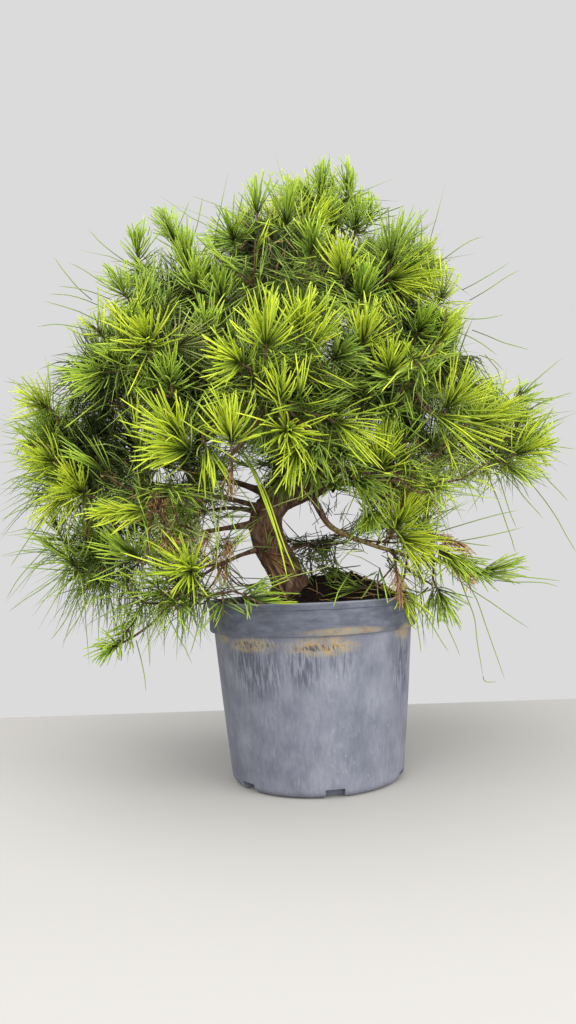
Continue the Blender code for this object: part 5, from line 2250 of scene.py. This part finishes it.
    def moss(self, material: Material) -> None:
        """Sets a few tufts of moss on the soil.

        Args:
            material: Their finish.
        """
        rng = random.Random(SEED + 3)
        lines, tint = [], []
        for _ in range(self.tufts):
            x, y = self.spot(rng, self.edge_radius - 22)
            for _ in range(self.tuft_blades):
                px, py = x + rng.gauss(0, 2.2) * MM, y + rng.gauss(0, 2.2) * MM
                foot = Vector((px, py, self.ground(px, py)))
                tip = foot + Vector((rng.gauss(0, 1), rng.gauss(0, 1), rng.uniform(1.5, 3.2))) * MM
                lines.append([foot, foot.lerp(tip, 0.5), tip])
                tint.append(rng.random())
        mesh = MeshParts()
        radii = np.tile(np.array([0.3, 0.35, 0.0]) * MM, (len(lines), 1))
        mesh.add_tubes(np.array(lines), radii, 3, np.array(tint), pointed=True)
        keep(mesh.build("moss", material), "soil", "soil")

    def build(self, earth: Material, dead: Material, moss: Material) -> None:
        """Makes the soil and what lies on it.

        Args:
            earth: The soil's finish.
            dead: The fallen needles' finish.
            moss: The moss's finish.
        """
        self.surface(earth)
        self.crumb_piece(earth)
        self.fallen_needles(dead)
        self.moss(moss)


# Stage

@dataclass(frozen=True)
class Studio:
    """A plain pale floor and soft light from above and the front left, as in the photo."""

    floor_colour: str = "#b2b0ac"
    wall_colour: str = "#dcdbdc"
    floor_half: float = 3.0
    floor_back: float = 0.3
    floor_drop: float = 0.0004
    sky_strength: float = 1.0
    aim: tuple[float, float, float] = (0, 0, 0.3)
    lamps: tuple = (
        ("key", (-0.5, -0.8, 2.1), 2.6, 58.0),
        ("fill", (1.5, -1.2, 0.6), 1.6, 44.0),
        ("front", (-0.5, -1.6, 0.35), 1.6, 23.0),
    )

    def area(self, name: str, place: tuple, size: float, energy: float) -> None:
        """Adds a soft square lamp that points at the crown.

        Args:
            name: The lamp's name.
            place: Where it hangs.
            size: Its side.
            energy: Its power in watts.
        """
        data = bpy.data.lights.new(name, "AREA")
        data.energy = energy
        data.size = size
        lamp = bpy.data.objects.new(name, data)
        lamp.location = place
        aim = Vector(self.aim) - Vector(place)
        lamp.rotation_euler = aim.to_track_quat("-Z", "Y").to_euler()
        bpy.context.scene.collection.objects.link(lamp)

    def build(self) -> None:
        """Makes floor, lamps and background."""
        bpy.ops.object.select_all(action="DESELECT")
        centre = (0, self.floor_back - self.floor_half, -self.floor_drop)
        bpy.ops.mesh.primitive_plane_add(size=self.floor_half * 2, location=centre)
        floor = bpy.context.object
        floor.name = "floor"
        material, shader = new_finish("matt_board", 0.8, 0.2)
        shader.inputs["Base Color"].default_value = linear(self.floor_colour)
        floor.data.materials.append(material)
        for lamp in self.lamps:
            self.area(*lamp)
        world = bpy.data.worlds.new("studio")
        world.use_nodes = True
        sky = world.node_tree.nodes["Background"]
        sky.inputs["Color"].default_value = linear(self.wall_colour)
        sky.inputs["Strength"].default_value = self.sky_strength
        scene = bpy.context.scene
        scene.world = world
        scene.view_settings.view_transform = "Standard"


def needle_finishes() -> dict[Tone, Material]:
    """Makes the material of every tone of needle.

    Returns:
        The materials by tone.
    """
    finishes = (
        NeedleFinish(Tone.LIME, "#566c1c", "#b2c432", bright_from=0.5),
        NeedleFinish(Tone.FRESH, "#4c6220", "#9ab638"),
        NeedleFinish(Tone.GREEN, "#465820", "#829a3a"),
        NeedleFinish(Tone.DEEP, "#2e3612", "#5a6a28"),
        NeedleFinish(Tone.OLIVE, "#788046", "#a2aa66"),
        NeedleFinish(Tone.DEAD, "#6c4c31", "#b28e60"),
        # The shaded tone is painted shade: dark needles for the crown's inside
        NeedleFinish(Tone.SHADED, "#1a1e0e", "#38421e", 0.7, 0.1),
    )
    return {finish.tone: finish.material() for finish in finishes}


def write_sizes() -> None:
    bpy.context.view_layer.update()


def main() -> None:
    """Builds the plant, its pot and the studio."""
    logging.basicConfig(level=logging.INFO, format="%(name)s %(message)s")
    view = PhotoView()
    view.add_camera()
    tree = Tree()
    finishes = needle_finishes()
    # The trunk's bark darkens upwards: painted shade of the crown
    bark = BarkFinish(shade=0.7).material()
    young = BarkFinish("young_bark", "#33271c", "#594431", "#7d6a52", 2.5, 0.6).material()
    Pot().build(FadedPlastic().material())
    Soil(tree).build(
        GrainFinish("potting_soil", "#120d0a", "#2c201a", 2.2).material(),
        finishes[Tone.DEAD],
        GrainFinish("moss", "#4d6b1e", "#8fb53a", 1.0, 0.8, 0.1).material(),
    )
    # Without a seed, the offsets of the vector noise that bends the boughs would come from the clock
    noise.seed_set(SEED)
    wood = Wood(tree)
    wood.trunk(bark)
    # The window bough takes a lighter copy of the young bark: painted light
    wood.boughs(young, BarkFinish("sunlit_bark", "#4a3a22", "#85734a", "#aa9c66", 2.0, 0.5).material())
    Crown(tree, view).build(finishes, young)
    Studio().build()
    write_sizes()


if __name__ == "__main__":
    main()
